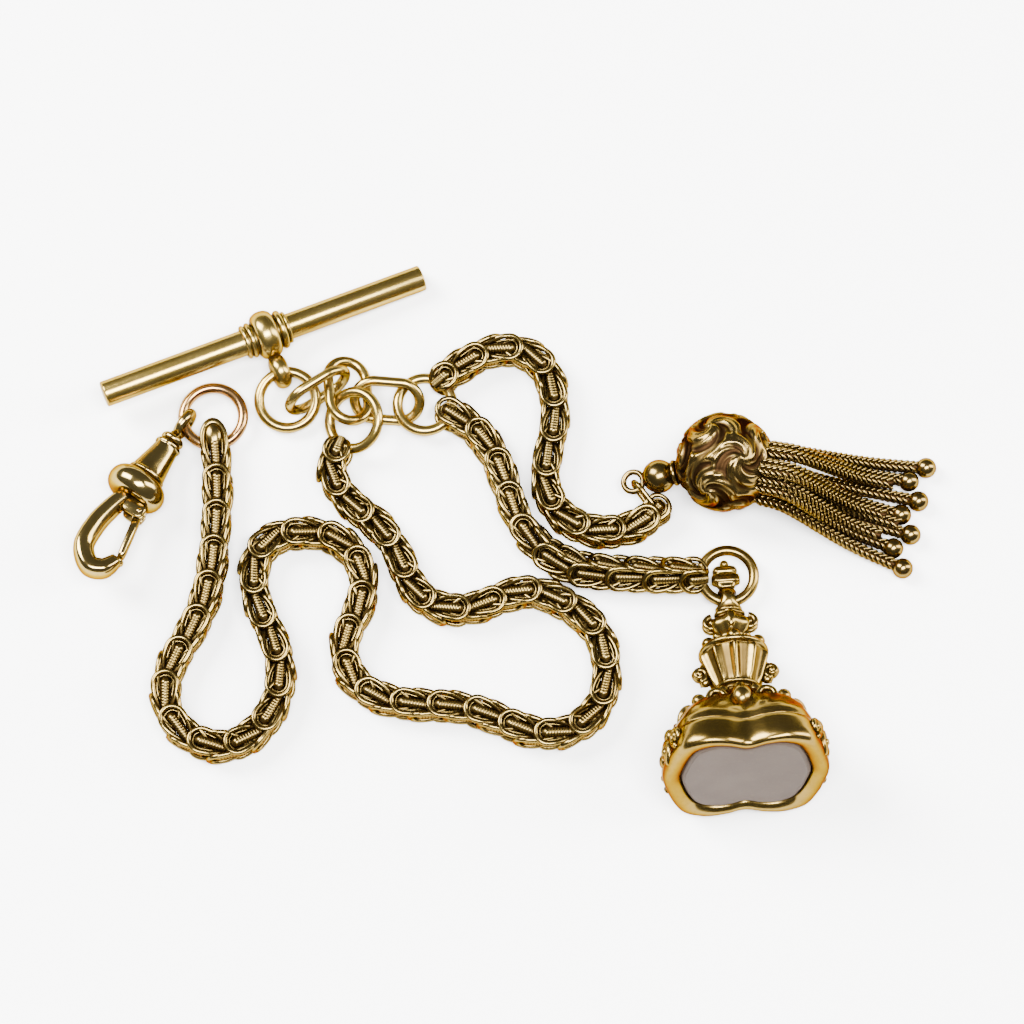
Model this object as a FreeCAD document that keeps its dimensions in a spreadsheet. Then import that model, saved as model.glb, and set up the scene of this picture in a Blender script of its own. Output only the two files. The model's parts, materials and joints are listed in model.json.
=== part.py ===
# A Victorian gold pocket watch chain: T-bar, joining rings, a long fancy-link chain with a
# dog clip, and two short drops that carry a tassel fob and a seal fob. Millimetres, +Z up.
# The pieces are placed as they lie on a table, then the whole is moved so that the origin is on
# the table, under the middle of the chain's outline.
import FreeCAD, Part
import math
import os

import Sketcher
from FreeCAD import Placement, Rotation, Vector

X_AXIS = Vector(1, 0, 0)
Y_AXIS = Vector(0, 1, 0)
Z_AXIS = Vector(0, 0, 1)

SIZES = {
    # T-bar and its bail
    "bar_length": 32.6,
    "bar_radius": 1.25,
    "bar_chamfer": 0.12,
    "bar_slope": 4.0,
    "bail_inner_radius": 1.4,
    "bail_outer_radius": 2.38,
    "bail_width": 2.2,
    "bail_drop_inner_radius": 0.8,
    "bail_drop_outer_radius": 1.7,
    "bail_drop_width": 1.6,
    "bail_drop_distance": 3.75,
    "bail_neck_radius": 0.55,
    "bar_collar_radius": 0.3,
    "bar_collar_gap": 0.15,
    # rings
    "ring_wire_radius": 0.45,
    "bail_ring_radius": 2.7,
    "drop_ring_radius": 2.6,
    "long_ring_radius": 2.7,
    "clip_ring_radius": 2.85,
    "seal_ring_radius": 2.5,
    "oval_end_radius": 1.9,
    "oval_straight": 2.4,
    # fancy chain
    "link_ring_radius": 1.2,
    "link_wire_radius": 0.25,
    # dog clip
    "eye_radius": 1.25,
    "eye_wire_radius": 0.42,
    "stem_radius": 0.4,
    "stem_head_radius": 0.75,
    "stem_head_height": 0.5,
    "bead_radius": 1.15,
    "bead_height": 1.3,
    "barrel_length": 4.0,
    "barrel_narrow_radius": 1.3,
    "barrel_wide_radius": 1.85,
    "barrel_bore_radius": 0.55,
    "barrel_cavity_radius": 1.0,
    "barrel_cavity_height": 1.5,
    "barrel_cap_height": 1.0,
    "clip_collar_radius": 2.95,
    "clip_collar_height": 2.6,
    "hook_half_width": 0.85,
    "hook_half_height": 1.1,
    "lug_length": 2.6,
    "lug_height": 1.45,
    "lug_thickness": 0.4,
    "lug_gap": 0.75,
    "gate_length": 4.75,
    "gate_width": 1.4,
    "gate_knuckle_height": 0.4,
    "gate_thickness": 0.5,
    "gate_eye_radius": 0.65,
    "gate_pin_radius": 0.25,
    "gate_pin_clearance": 0.06,
    "gate_pin_length": 2.4,
    "gate_spring_coils": 3,
    "gate_spring_radius": 0.42,
    "gate_spring_wire_radius": 0.09,
    # tassel fob
    "tassel_link_end_radius": 1.1,
    "tassel_link_straight": 1.35,
    "tassel_link_wire_radius": 0.25,
    "tassel_eye_radius": 0.95,
    "tassel_eye_wire_radius": 0.28,
    "tassel_bead_radius": 1.6,
    "tassel_bead_distance": 6.5,
    "tassel_eye_distance": 9.05,
    "tassel_collar_radius": 1.0,
    "tassel_collar_wire_radius": 0.25,
    "tassel_ball_radius": 4.75,
    "strand_radius": 0.5,
    "strand_bead_radius": 1.0,
    # seal fob
    "seal_loop_inner_radius": 0.75,
    "seal_loop_outer_radius": 1.35,
    "seal_loop_width": 1.5,
    "seal_bar_length": 2.7,
    "seal_bar_height": 1.2,
    "seal_bar_depth": 1.3,
    "seal_knob_radius": 0.45,
    "seal_foot_radius": 1.35,
    "seal_foot_height": 0.9,
    "seal_urn_radius": 2.1,
    "seal_urn_height": 3.7,
    "seal_vase_rim_radius": 3.1,
    "seal_vase_foot_radius": 1.9,
    "seal_vase_height": 5.0,
    "seal_handle_radius": 0.8,
    "seal_handle_offset": 3.4,
    "seal_neck_radius": 1.6,
    "seal_dome_height": 6.0,
    "seal_base_width": 15.4,
    "seal_base_depth": 14.0,
    "seal_base_height": 3.0,
    "seal_corner_radius": 4.6,
    "seal_lip_width": 1.9,
    "seal_stone_height": 1.6,
    "seal_stone_gap": 0.05,
}

doc = FreeCAD.newDocument("watch_chain")
sheet = doc.addObject("Spreadsheet::Sheet", "sizes")
for row, (alias, value) in enumerate(SIZES.items(), start=1):
    sheet.set(f"A{row}", alias)
    sheet.set(f"B{row}", str(value))
    sheet.setAlias(f"B{row}", alias)
doc.recompute()

nodes = []


def size(alias):
    return float(sheet.get(alias))


def add(kind, name, **sizes):
    """A Part object whose properties follow the sheet: each value is an expression of aliases."""
    piece = doc.addObject(kind, name)
    for prop, formula in sizes.items():
        piece.setExpression(prop, formula)
    return piece


def label(piece, name, placement=None):
    piece.Label = name
    if placement is not None:
        piece.Placement = placement
    nodes.append(piece)
    return piece


def fused(name, *shapes):
    fuse = doc.addObject("Part::MultiFuse", name)
    fuse.Shapes = list(shapes)
    return fuse


def cut(name, base, tool):
    result = doc.addObject("Part::Cut", name)
    result.Base = base
    result.Tool = tool
    return result


def frame(origin, z_direction, x_hint=Z_AXIS):
    """A placement whose Z looks along z_direction and whose X lies nearest x_hint."""
    z = Vector(z_direction).normalize()
    y = z.cross(x_hint)
    if y.Length < 1e-6:
        y = z.cross(X_AXIS)
    y.normalize()
    x = y.cross(z)
    return Placement(Vector(origin), Rotation(x, y, z, "ZXY"))


def at(x=0, y=0, z=0):
    return Placement(Vector(x, y, z), Rotation())


def tilted(origin, about_x, about_y, about_z=0):
    """A placement turned in the plane first, then tipped about Y and about X."""
    spin = Rotation(X_AXIS, about_x) * Rotation(Y_AXIS, about_y) * Rotation(Z_AXIS, about_z)
    return Placement(Vector(*origin), spin)


def torus(name, ring, wire):
    return add("Part::Torus", name, Radius1=ring, Radius2=wire)


def oval_link(name, end_radius, straight, wire):
    """A closed wire link: two half rings joined by two straight wires, long way along X."""
    parts = []
    for side in (1, -1):
        end = torus(f"{name}_end", end_radius, wire)
        end.Angle3 = 180
        end.setExpression("Placement.Base.x", f"{side} * {straight} / 2")
        end.Placement.Rotation = Rotation(Z_AXIS, -90 * side)
        rod = add("Part::Cylinder", f"{name}_rod", Radius=wire, Height=straight)
        rod.Placement.Rotation = Rotation(Y_AXIS, 90)
        rod.setExpression("Placement.Base.x", f"-{straight} / 2")
        rod.setExpression("Placement.Base.y", f"{side} * {end_radius}")
        parts += [end, rod]
    return fused(name, *parts)


def band(name, inner, outer, width):
    """A D-section ring about Z: an ellipsoid with a straight hole, as wide as stated at the hole."""
    bulge = add(
        "Part::Ellipsoid",
        f"{name}_bulge",
        Radius1=f"{width} / 2 / sqrt(1 - ({inner} / {outer}) ^ 2)",
        Radius2=outer,
    )
    hole = add("Part::Cylinder", f"{name}_hole", Radius=inner, Height=f"4 * {width}")
    hole.setExpression("Placement.Base.z", f"-2 * {width}")
    return cut(name, bulge, hole)


def turned(name, outline):
    """A body turned about Z. outline is a list of (radius, height) expressions, going round."""
    body = doc.addObject("PartDesign::Body", name)
    sketch = body.newObject("Sketcher::SketchObject", f"{name}_outline")
    plane = next(f for f in body.Origin.OriginFeatures if f.Role == "XZ_Plane")
    sketch.AttachmentSupport = (plane, "")
    sketch.MapMode = "FlatFace"
    count = len(outline)
    spots = [Vector(0 if r == "0" else 1 + 0.1 * i, 0.5 * i, 0) for i, (r, _) in enumerate(outline)]
    for i in range(count):
        sketch.addGeometry(Part.LineSegment(spots[i], spots[(i + 1) % count]), False)
    for i in range(count):
        sketch.addConstraint(Sketcher.Constraint("Coincident", i, 2, (i + 1) % count, 1))
    for i, (r, z) in enumerate(outline):
        if r == "0":
            sketch.addConstraint(Sketcher.Constraint("PointOnObject", i, 1, -2))
        else:
            n = sketch.addConstraint(Sketcher.Constraint("DistanceX", -1, 1, i, 1, spots[i].x))
            sketch.setExpression(f"Constraints[{n}]", r)
        if z == "0":
            sketch.addConstraint(Sketcher.Constraint("PointOnObject", i, 1, -1))
        else:
            n = sketch.addConstraint(Sketcher.Constraint("DistanceY", -1, 1, i, 1, spots[i].y))
            sketch.setExpression(f"Constraints[{n}]", z)
    turn = body.newObject("PartDesign::Revolution", f"{name}_turn")
    turn.Profile = sketch
    turn.ReferenceAxis = (sketch, ["V_Axis"])
    turn.Angle = 360
    body.Tip = turn
    return body


def block(name, width, depth, height, corner):
    """A rectangular pad centred on Z, with its four upright edges rounded."""
    body = doc.addObject("PartDesign::Body", name)
    sketch = body.newObject("Sketcher::SketchObject", f"{name}_plan")
    plane = next(f for f in body.Origin.OriginFeatures if f.Role == "XY_Plane")
    sketch.AttachmentSupport = (plane, "")
    sketch.MapMode = "FlatFace"
    corners = [Vector(-5, -4, 0), Vector(5, -4, 0), Vector(5, 4, 0), Vector(-5, 4, 0)]
    for i in range(4):
        sketch.addGeometry(Part.LineSegment(corners[i], corners[(i + 1) % 4]), False)
    for i in range(4):
        sketch.addConstraint(Sketcher.Constraint("Coincident", i, 2, (i + 1) % 4, 1))
    for line, direction in ((0, "Horizontal"), (2, "Horizontal"), (1, "Vertical"), (3, "Vertical")):
        sketch.addConstraint(Sketcher.Constraint(direction, line))
    sketch.addConstraint(Sketcher.Constraint("Symmetric", 0, 1, 1, 2, -1, 1))
    across = sketch.addConstraint(Sketcher.Constraint("DistanceX", 0, 1, 0, 2, 10))
    along = sketch.addConstraint(Sketcher.Constraint("DistanceY", 1, 1, 1, 2, 8))
    sketch.setExpression(f"Constraints[{across}]", width)
    sketch.setExpression(f"Constraints[{along}]", depth)
    pad = body.newObject("PartDesign::Pad", f"{name}_pad")
    pad.Profile = sketch
    pad.setExpression("Length", height)
    doc.recompute()
    uprights = [
        f"Edge{i}"
        for i, edge in enumerate(pad.Shape.Edges, start=1)
        if abs(edge.Vertexes[0].Z - edge.Vertexes[-1].Z) > 0.01
    ]
    rounding = body.newObject("PartDesign::Fillet", f"{name}_rounding")
    rounding.Base = (pad, uprights)
    rounding.setExpression("Radius", corner)
    body.Tip = rounding
    return body


# ---------------------------------------------------------------- T-bar and bail
BAIL_CENTRE = Vector(-23.5, 20.16, 2.4)
BAR_HEADING = 22.4
BAR_LEFT_LENGTH = 16.5
BAIL_DROP_SLOPE = 10.0

slope = math.radians(size("bar_slope"))
heading = math.radians(BAR_HEADING)
bar_direction = Vector(
    math.cos(heading) * math.cos(slope), math.sin(heading) * math.cos(slope), -math.sin(slope)
)
drop_hint = Vector(
    math.sin(heading), -math.cos(heading), -math.tan(math.radians(BAIL_DROP_SLOPE))
)

t_bar = turned(
    "t_bar",
    [
        ("0", "0"),
        ("sizes.bar_radius - sizes.bar_chamfer", "0"),
        ("sizes.bar_radius", "sizes.bar_chamfer"),
        ("sizes.bar_radius", "sizes.bar_length - sizes.bar_chamfer"),
        ("sizes.bar_radius - sizes.bar_chamfer", "sizes.bar_length"),
        ("0", "sizes.bar_length"),
    ],
)
label(t_bar, "t_bar", frame(BAIL_CENTRE - bar_direction * BAR_LEFT_LENGTH, bar_direction))

for side, side_name in ((-1, "left"), (1, "right")):
    rings = []
    for place in range(2):
        ring = torus(
            f"collar_{side_name}_{place}",
            "sizes.bar_radius + sizes.bar_collar_radius",
            "sizes.bar_collar_radius",
        )
        first_ring = "sizes.bail_width / 2 + sizes.bar_collar_gap + sizes.bar_collar_radius"
        next_ring = f"{place} * 2.05 * sizes.bar_collar_radius"
        ring.setExpression("Placement.Base.z", f"{side} * ({first_ring} + {next_ring})")
        rings.append(ring)
    collars = doc.addObject("Part::Compound", f"bar_collars_{side_name}")
    collars.Links = rings
    label(collars, f"bar_collars_{side_name}", frame(BAIL_CENTRE, bar_direction))

bail_band = band("bail_band", "sizes.bail_inner_radius", "sizes.bail_outer_radius", "sizes.bail_width")
bail_drop = band(
    "bail_drop", "sizes.bail_drop_inner_radius", "sizes.bail_drop_outer_radius", "sizes.bail_drop_width"
)
bail_drop.setExpression("Placement.Base.x", "sizes.bail_drop_distance")
bail_neck = add(
    "Part::Cylinder",
    "bail_neck",
    Radius="sizes.bail_neck_radius",
    Height="sizes.bail_drop_distance - sizes.bail_drop_inner_radius - sizes.bail_inner_radius - 0.4",
)
bail_neck.Placement.Rotation = Rotation(Y_AXIS, 90)
bail_neck.setExpression("Placement.Base.x", "sizes.bail_inner_radius + 0.2")
bail = fused("t_bar_bail", bail_band, bail_drop, bail_neck)
label(bail, "t_bar_bail", frame(BAIL_CENTRE, bar_direction, drop_hint))

# ---------------------------------------------------------------- joining rings
# each: centre, then the tilts about X and Y, then the turn in its own plane;
# the upper link stands on edge, so it has a tilt about its long way and a heading
BAIL_RING = ((-21.4, 14.0, 1.42), 8.0, 0.0)
UPPER_LINK = ((-18.5, 14.7, 2.32), 80.0, 33.0)
MIDDLE_LINK = ((-15.6, 14.65, 2.2), -10.0, 20.0, 97.0)
LOWER_LINK = ((-11.9, 13.85, 1.6), 35.0, 0.0, -5.0)
DROP_RING = ((-8.3, 13.5, 1.5), 0.0, 0.0)
LONG_RING = ((-15.0, 11.6, 2.7), 10.0, -30.0)
CLIP_RING_CENTRE = Vector(-28.45, 12.3, 1.5)
SEAL_RING_CENTRE = Vector(20.3, -3.35, 1.45)

WIRE = "sizes.ring_wire_radius"
label(torus("bail_ring", "sizes.bail_ring_radius", WIRE), "bail_ring", tilted(*BAIL_RING))
label(torus("drop_ring", "sizes.drop_ring_radius", WIRE), "drop_ring", tilted(*DROP_RING))
label(torus("long_chain_ring", "sizes.long_ring_radius", WIRE), "long_chain_ring", tilted(*LONG_RING))
label(torus("clip_ring", "sizes.clip_ring_radius", WIRE), "clip_ring", at(*CLIP_RING_CENTRE))
label(torus("seal_ring", "sizes.seal_ring_radius", WIRE), "seal_ring", at(*SEAL_RING_CENTRE))

upper_centre, upper_tilt, upper_heading = UPPER_LINK
upright = Rotation(Z_AXIS, upper_heading) * Rotation(X_AXIS, upper_tilt)
upper = oval_link("upper", "sizes.oval_end_radius", "sizes.oval_straight", WIRE)
label(upper, "oval_link_upper", Placement(Vector(*upper_centre), upright))
middle = oval_link("middle", "sizes.oval_end_radius", "sizes.oval_straight", WIRE)
label(middle, "oval_link_middle", tilted(*MIDDLE_LINK))
lower = oval_link("lower", "sizes.oval_end_radius", "sizes.oval_straight", WIRE)
label(lower, "oval_link_lower", tilted(*LOWER_LINK))

# ---------------------------------------------------------------- fancy chains
# Each route is the middle line of a chain as it lies, from the ring that carries it outwards.
CHAIN_HEIGHT = size("link_ring_radius") + size("link_wire_radius")
LONG_ROUTE = [
    (-16.45, 9.2), (-17.0, 6.8), (-15.2, 3.7), (-12.4, 1.3), (-10.5, -1.9), (-8.8, -5.1),
    (-5.6, -6.6), (-2.1, -5.9), (1.4, -4.9), (4.8, -6.0), (7.6, -8.3), (8.8, -11.7),
    (8.3, -15.4), (5.8, -18.0), (2.3, -18.4), (-1.1, -17.2), (-4.5, -16.1), (-8.1, -15.8),
    (-11.6, -15.3), (-14.7, -13.4), (-15.7, -10.0), (-14.4, -6.5), (-14.2, -2.8), (-16.3, 0.0),
    (-19.8, 0.8), (-23.1, -0.2), (-24.3, -3.7), (-23.4, -7.2), (-22.0, -10.6), (-21.8, -14.3),
    (-23.3, -17.6), (-26.2, -19.6), (-29.7, -19.0), (-32.1, -16.2), (-32.1, -12.6), (-30.5, -9.3),
    (-29.0, -5.9), (-28.3, -2.3), (-28.0, 1.4), (-27.9, 5.1), (-28.2, 9.1),
]
TASSEL_ROUTE = [
    (-6.8, 15.9), (-4.6, 17.5), (-1.1, 18.9), (2.3, 17.9), (3.9, 14.6), (3.9, 10.8),
    (3.2, 7.1), (4.0, 3.5), (6.9, 1.3), (10.6, 1.2), (13.6, 3.0),
]
SEAL_ROUTE = [
    (-5.6, 12.4), (-3.0, 10.4), (-1.1, 7.1), (0.3, 3.0), (2.7, -0.6), (5.7, -2.5),
    (9.5, -3.1), (13.1, -3.3), (17.5, -3.35),
]
# name, route, number of links, number of segments that bend against each other
CHAINS = [
    ("long_chain", LONG_ROUTE, 85, 14),
    ("tassel_chain", TASSEL_ROUTE, 22, 4),
    ("seal_chain", SEAL_ROUTE, 19, 3),
]


def link_places(route, count):
    """Where each link lies on its route: evenly spaced, every second one turned a quarter turn."""
    curve = Part.BSplineCurve()
    curve.interpolate([Vector(x, y, CHAIN_HEIGHT) for x, y in route])
    line = curve.toShape()
    places = []
    for i in range(count):
        along = line.getParameterByLength(line.Length * i / (count - 1))
        heading = line.tangentAt(along)
        face = Z_AXIS if i % 2 else heading.cross(Z_AXIS)
        places.append(frame(line.valueAt(along), face, heading))
    return places


for chain_name, route, link_count, segment_count in CHAINS:
    places = link_places(route, link_count)
    ends = [round(link_count * k / segment_count) for k in range(segment_count + 1)]
    for segment, (first, last) in enumerate(zip(ends, ends[1:]), start=1):
        links = []
        for number in range(first, last):
            link = torus(
                f"{chain_name}_link_{number + 1}", "sizes.link_ring_radius", "sizes.link_wire_radius"
            )
            link.Placement = places[number]
            links.append(link)
        piece = doc.addObject("Part::Compound", f"{chain_name}_{segment:02d}")
        piece.Links = links
        label(piece, f"{chain_name}_{segment:02d}")

# ---------------------------------------------------------------- dog clip
EYE_CENTRE = Vector(-31.15, 11.5, 1.65)
COLLAR_CENTRE = Vector(-35.5, 4.8, 2.95)
BARREL_START = 2.6
BEAD_START = 1.75
HEAD_START = 5.0
HOOK_ROUTE = [
    (0.6, 1.3), (1.0, 3.0), (1.25, 5.2), (0.9, 7.7), (-0.7, 9.1), (-2.2, 8.6), (-2.8, 7.1)
]
GATE_PIVOT_SIDE = -1.75
GATE_PIVOT_REACH = 2.05
GATE_SLANT = -13.0

clip_axis = COLLAR_CENTRE - EYE_CENTRE
collar_reach = clip_axis.Length
clip_left = Z_AXIS.cross(clip_axis) * -1
clip_frame = frame(EYE_CENTRE, clip_axis, clip_left)


def on_clip(side=0, height=0, reach=0, turn=None):
    """A placement in the clip's own frame: side to the left, reach along the clip from its eye."""
    return clip_frame.multiply(Placement(Vector(side, height, reach), turn or Rotation()))


eye = torus("swivel_loop", "sizes.eye_radius", "sizes.eye_wire_radius")
stem = add("Part::Cylinder", "swivel_stem", Radius="sizes.stem_radius")
stem.Height = HEAD_START - size("eye_radius")
stem.setExpression("Placement.Base.z", "sizes.eye_radius")
head = add("Part::Cylinder", "swivel_head", Radius="sizes.stem_head_radius", Height="sizes.stem_head_height")
head.Placement.Base.z = HEAD_START
eye.Placement.Rotation = Rotation(Y_AXIS, 90)
label(fused("clip_swivel_eye", eye, stem, head), "clip_swivel_eye", clip_frame)

bead = band("clip_bead", "sizes.stem_radius", "sizes.bead_radius", "0.7 * sizes.bead_height")
label(bead, "clip_bead", on_clip(reach=BEAD_START + 0.3))

barrel = turned(
    "clip_barrel",
    [
        ("sizes.barrel_bore_radius", "0"),
        ("sizes.barrel_narrow_radius", "0"),
        ("sizes.barrel_wide_radius", "sizes.barrel_length"),
        ("0", "sizes.barrel_length"),
        ("0", "sizes.barrel_length - 0.5 * sizes.barrel_cap_height"),
        ("sizes.barrel_cavity_radius", "sizes.barrel_length - 0.5 * sizes.barrel_cap_height"),
        (
            "sizes.barrel_cavity_radius",
            "sizes.barrel_length - 0.5 * sizes.barrel_cap_height - sizes.barrel_cavity_height",
        ),
        (
            "sizes.barrel_bore_radius",
            "sizes.barrel_length - 0.5 * sizes.barrel_cap_height - sizes.barrel_cavity_height",
        ),
    ],
)
label(barrel, "clip_barrel", on_clip(reach=BARREL_START))

roll = torus(
    "collar_roll",
    "sizes.clip_collar_radius - sizes.clip_collar_height / 2",
    "sizes.clip_collar_height / 2",
)
core = add(
    "Part::Cylinder",
    "collar_core",
    Radius="sizes.clip_collar_radius - sizes.clip_collar_height / 2",
    Height="sizes.clip_collar_height",
)
core.setExpression("Placement.Base.z", "-sizes.clip_collar_height / 2")
label(fused("clip_collar", roll, core), "clip_collar", on_clip(reach=collar_reach))


def pipe(route, profile):
    """A solid swept along a smooth line through the route's points."""
    curve = Part.BSplineCurve()
    curve.interpolate(route)
    return Part.Wire([curve.toShape()]).makePipeShell([Part.Wire([profile])], True, False)


hook_start = Vector(HOOK_ROUTE[0][0], 0, collar_reach + HOOK_ROUTE[0][1])
hook_section = Part.Ellipse(
    hook_start + Y_AXIS * size("hook_half_height"),
    hook_start + X_AXIS * size("hook_half_width"),
    hook_start,
)
crescent = doc.addObject("Part::Feature", "hook_crescent")
crescent.Shape = pipe(
    [Vector(side, 0, collar_reach + reach) for side, reach in HOOK_ROUTE], hook_section.toShape()
)
gate_pivot = Vector(GATE_PIVOT_SIDE, 0, collar_reach + GATE_PIVOT_REACH)
hook_parts = [crescent]
for side in (1, -1):
    lug = add(
        "Part::Box",
        "hook_lug",
        Length="sizes.lug_length",
        Width="sizes.lug_thickness",
        Height="sizes.lug_height",
    )
    lug.Placement.Base = Vector(
        GATE_PIVOT_SIDE - size("gate_eye_radius"), 0, collar_reach + size("clip_collar_height") / 2
    )
    middle_height = f"{side} * (sizes.lug_gap + sizes.lug_thickness / 2)"
    lug.setExpression("Placement.Base.y", f"{middle_height} - sizes.lug_thickness / 2")
    hook_parts.append(lug)
HOLE_LENGTH = 10
pin_hole = add("Part::Cylinder", "hook_pin_hole", Radius="sizes.gate_pin_radius")
pin_hole.Height = HOLE_LENGTH
pin_hole.Placement = Placement(gate_pivot + Y_AXIS * HOLE_LENGTH / 2, Rotation(X_AXIS, 90))
hook = cut("clip_hook", fused("hook_blank", *hook_parts), pin_hole)
label(hook, "clip_hook", clip_frame)

pin = add("Part::Cylinder", "clip_gate_pin", Radius="sizes.gate_pin_radius", Height="sizes.gate_pin_length")
pin_end = gate_pivot + Y_AXIS * size("gate_pin_length") / 2
label(pin, "clip_gate_pin", on_clip(pin_end.x, pin_end.y, pin_end.z, Rotation(X_AXIS, 90)))

coils = []
for number in range(int(size("gate_spring_coils"))):
    coil = torus("gate_spring_coil", "sizes.gate_spring_radius", "sizes.gate_spring_wire_radius")
    step = number - (size("gate_spring_coils") - 1) / 2
    coil.setExpression("Placement.Base.z", f"{step} * 2.1 * sizes.gate_spring_wire_radius")
    coils.append(coil)
spring = doc.addObject("Part::Compound", "clip_gate_spring")
spring.Links = coils
label(spring, "clip_gate_spring", on_clip(gate_pivot.x, 0, gate_pivot.z, Rotation(X_AXIS, 90)))

gate_parts = []
for side in (1, -1):
    knuckle = add(
        "Part::Cylinder", "gate_knuckle", Radius="sizes.gate_eye_radius", Height="sizes.gate_knuckle_height"
    )
    knuckle.Placement.Rotation = Rotation(X_AXIS, 90)
    knuckle_middle = f"{side} * (sizes.gate_width - sizes.gate_knuckle_height) / 2"
    knuckle.setExpression("Placement.Base.y", f"{knuckle_middle} + sizes.gate_knuckle_height / 2")
    gate_parts.append(knuckle)
blade = add(
    "Part::Box",
    "gate_blade",
    Length="sizes.gate_thickness",
    Width="sizes.gate_width",
    Height="sizes.gate_length - sizes.gate_eye_radius + 0.08",
)
blade.setExpression("Placement.Base.x", "-sizes.gate_thickness / 2")
blade.setExpression("Placement.Base.y", "-sizes.gate_width / 2")
blade.setExpression("Placement.Base.z", "sizes.gate_eye_radius - 0.08")
gate_hole = add(
    "Part::Cylinder", "gate_hole", Radius="sizes.gate_pin_radius + sizes.gate_pin_clearance"
)
gate_hole.Height = HOLE_LENGTH
gate_hole.Placement = Placement(Y_AXIS * HOLE_LENGTH / 2, Rotation(X_AXIS, 90))
gate = cut("clip_gate", fused("gate_blank", *gate_parts, blade), gate_hole)
label(gate, "clip_gate", on_clip(gate_pivot.x, 0, gate_pivot.z, Rotation(Y_AXIS, GATE_SLANT)))

# ---------------------------------------------------------------- tassel fob
BALL_CENTRE = Vector(20.05, 6.9, 4.75)
BALL_HEADING = 8.0
BALL_RISE = 17.0
COLLAR_BACKSET = 4.93
STRAND_COUNT = 7
STRAND_HEADING = -14.0
STRAND_START = 4.35
STRAND_CIRCLE = 2.6
STRAND_SPREAD = 1.69
STRAND_END = 18.6
STRAND_STAGGER = 1.3

rise = math.radians(BALL_RISE)
turn = math.radians(BALL_HEADING)
tassel_axis = Vector(math.cos(rise) * math.cos(turn), math.cos(rise) * math.sin(turn), math.sin(rise))
tassel_frame = frame(BALL_CENTRE, tassel_axis)

ball = add("Part::Sphere", "tassel_ball", Radius="sizes.tassel_ball_radius")
label(ball, "tassel_ball", tassel_frame)

cap_bead = add("Part::Sphere", "tassel_cap_bead", Radius="sizes.tassel_bead_radius")
cap_bead.setExpression("Placement.Base.z", "-sizes.tassel_bead_distance")
cap_eye = torus("tassel_cap_eye", "sizes.tassel_eye_radius", "sizes.tassel_eye_wire_radius")
cap_eye.Placement.Rotation = Rotation(Y_AXIS, 90)
cap_eye.setExpression("Placement.Base.z", "-sizes.tassel_eye_distance")
label(fused("tassel_cap", cap_bead, cap_eye), "tassel_cap", tassel_frame)

tassel_collar = torus("tassel_collar", "sizes.tassel_collar_radius", "sizes.tassel_collar_wire_radius")
label(tassel_collar, "tassel_collar", tassel_frame.multiply(at(z=-COLLAR_BACKSET)))

tassel_eye = tassel_frame.multVec(Vector(0, 0, -size("tassel_eye_distance")))
last_link = link_places(TASSEL_ROUTE, CHAINS[1][2])[-1].Base
loop_line = last_link - tassel_eye
loop_line.normalize()
loop_reach = size("tassel_link_straight") / 2 + size("tassel_link_end_radius")
loop = oval_link(
    "loop", "sizes.tassel_link_end_radius", "sizes.tassel_link_straight", "sizes.tassel_link_wire_radius"
)
loop_side = loop_line.cross(Z_AXIS)
label(loop, "tassel_link", frame(tassel_eye + loop_line * (loop_reach + 0.05), loop_side, loop_line))

strand_turn = math.radians(STRAND_HEADING)
strand_out = Vector(math.cos(strand_turn), math.sin(strand_turn), 0)
strand_left = Z_AXIS.cross(strand_out)
# strands leave the ball in a ring and lie side by side on the table, in the same order
ring_order = sorted(
    range(STRAND_COUNT), key=lambda k: math.sin(2 * math.pi * k / STRAND_COUNT)
)
for lane, place in enumerate(ring_order):
    angle = 2 * math.pi * place / STRAND_COUNT
    start = (
        BALL_CENTRE
        + strand_out * STRAND_START
        + strand_left * STRAND_CIRCLE * math.sin(angle)
        + Z_AXIS * STRAND_CIRCLE * math.cos(angle)
    )
    sideways = STRAND_SPREAD * (lane - (STRAND_COUNT - 1) / 2)
    reach = STRAND_END - STRAND_STAGGER * (lane % 2)
    end = BALL_CENTRE + strand_out * reach + strand_left * sideways
    end.z = size("strand_bead_radius")
    leave = start + strand_out * 2.5 + strand_left * (sideways - STRAND_CIRCLE * math.sin(angle)) * 0.12
    settle = start + (end - start) * 0.62
    settle.z = size("strand_radius") + 0.25 * (start.z - size("strand_radius"))
    strand = doc.addObject("Part::Feature", f"strand_{lane + 1}_cord")
    section = Part.Circle(start, strand_out, size("strand_radius")).toShape()
    strand.Shape = pipe([start, leave, settle, end], section)
    end_bead = add("Part::Sphere", f"strand_{lane + 1}_bead", Radius="sizes.strand_bead_radius")
    end_bead.Placement.Base = end
    label(fused(f"tassel_strand_{lane + 1}", strand, end_bead), f"tassel_strand_{lane + 1}")

# ---------------------------------------------------------------- seal fob
SEAL_HEADING = -86.2
SEAL_RISE = 18.7
SEAL_URN_START = 1.5
SEAL_VASE_START = 5.2
SEAL_DOME_START = 10.2
SEAL_BASE_START = 16.2

lean = math.radians(SEAL_RISE)
way = math.radians(SEAL_HEADING)
seal_axis = Vector(math.cos(lean) * math.cos(way), math.cos(lean) * math.sin(way), math.sin(lean))
seal_origin = SEAL_RING_CENTRE - Y_AXIS * size("seal_ring_radius")
seal_frame = frame(seal_origin, seal_axis)


def on_seal(reach):
    """A placement in the seal's own frame, whose Z runs from the loop to the stone."""
    return seal_frame.multiply(at(z=reach))


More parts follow.
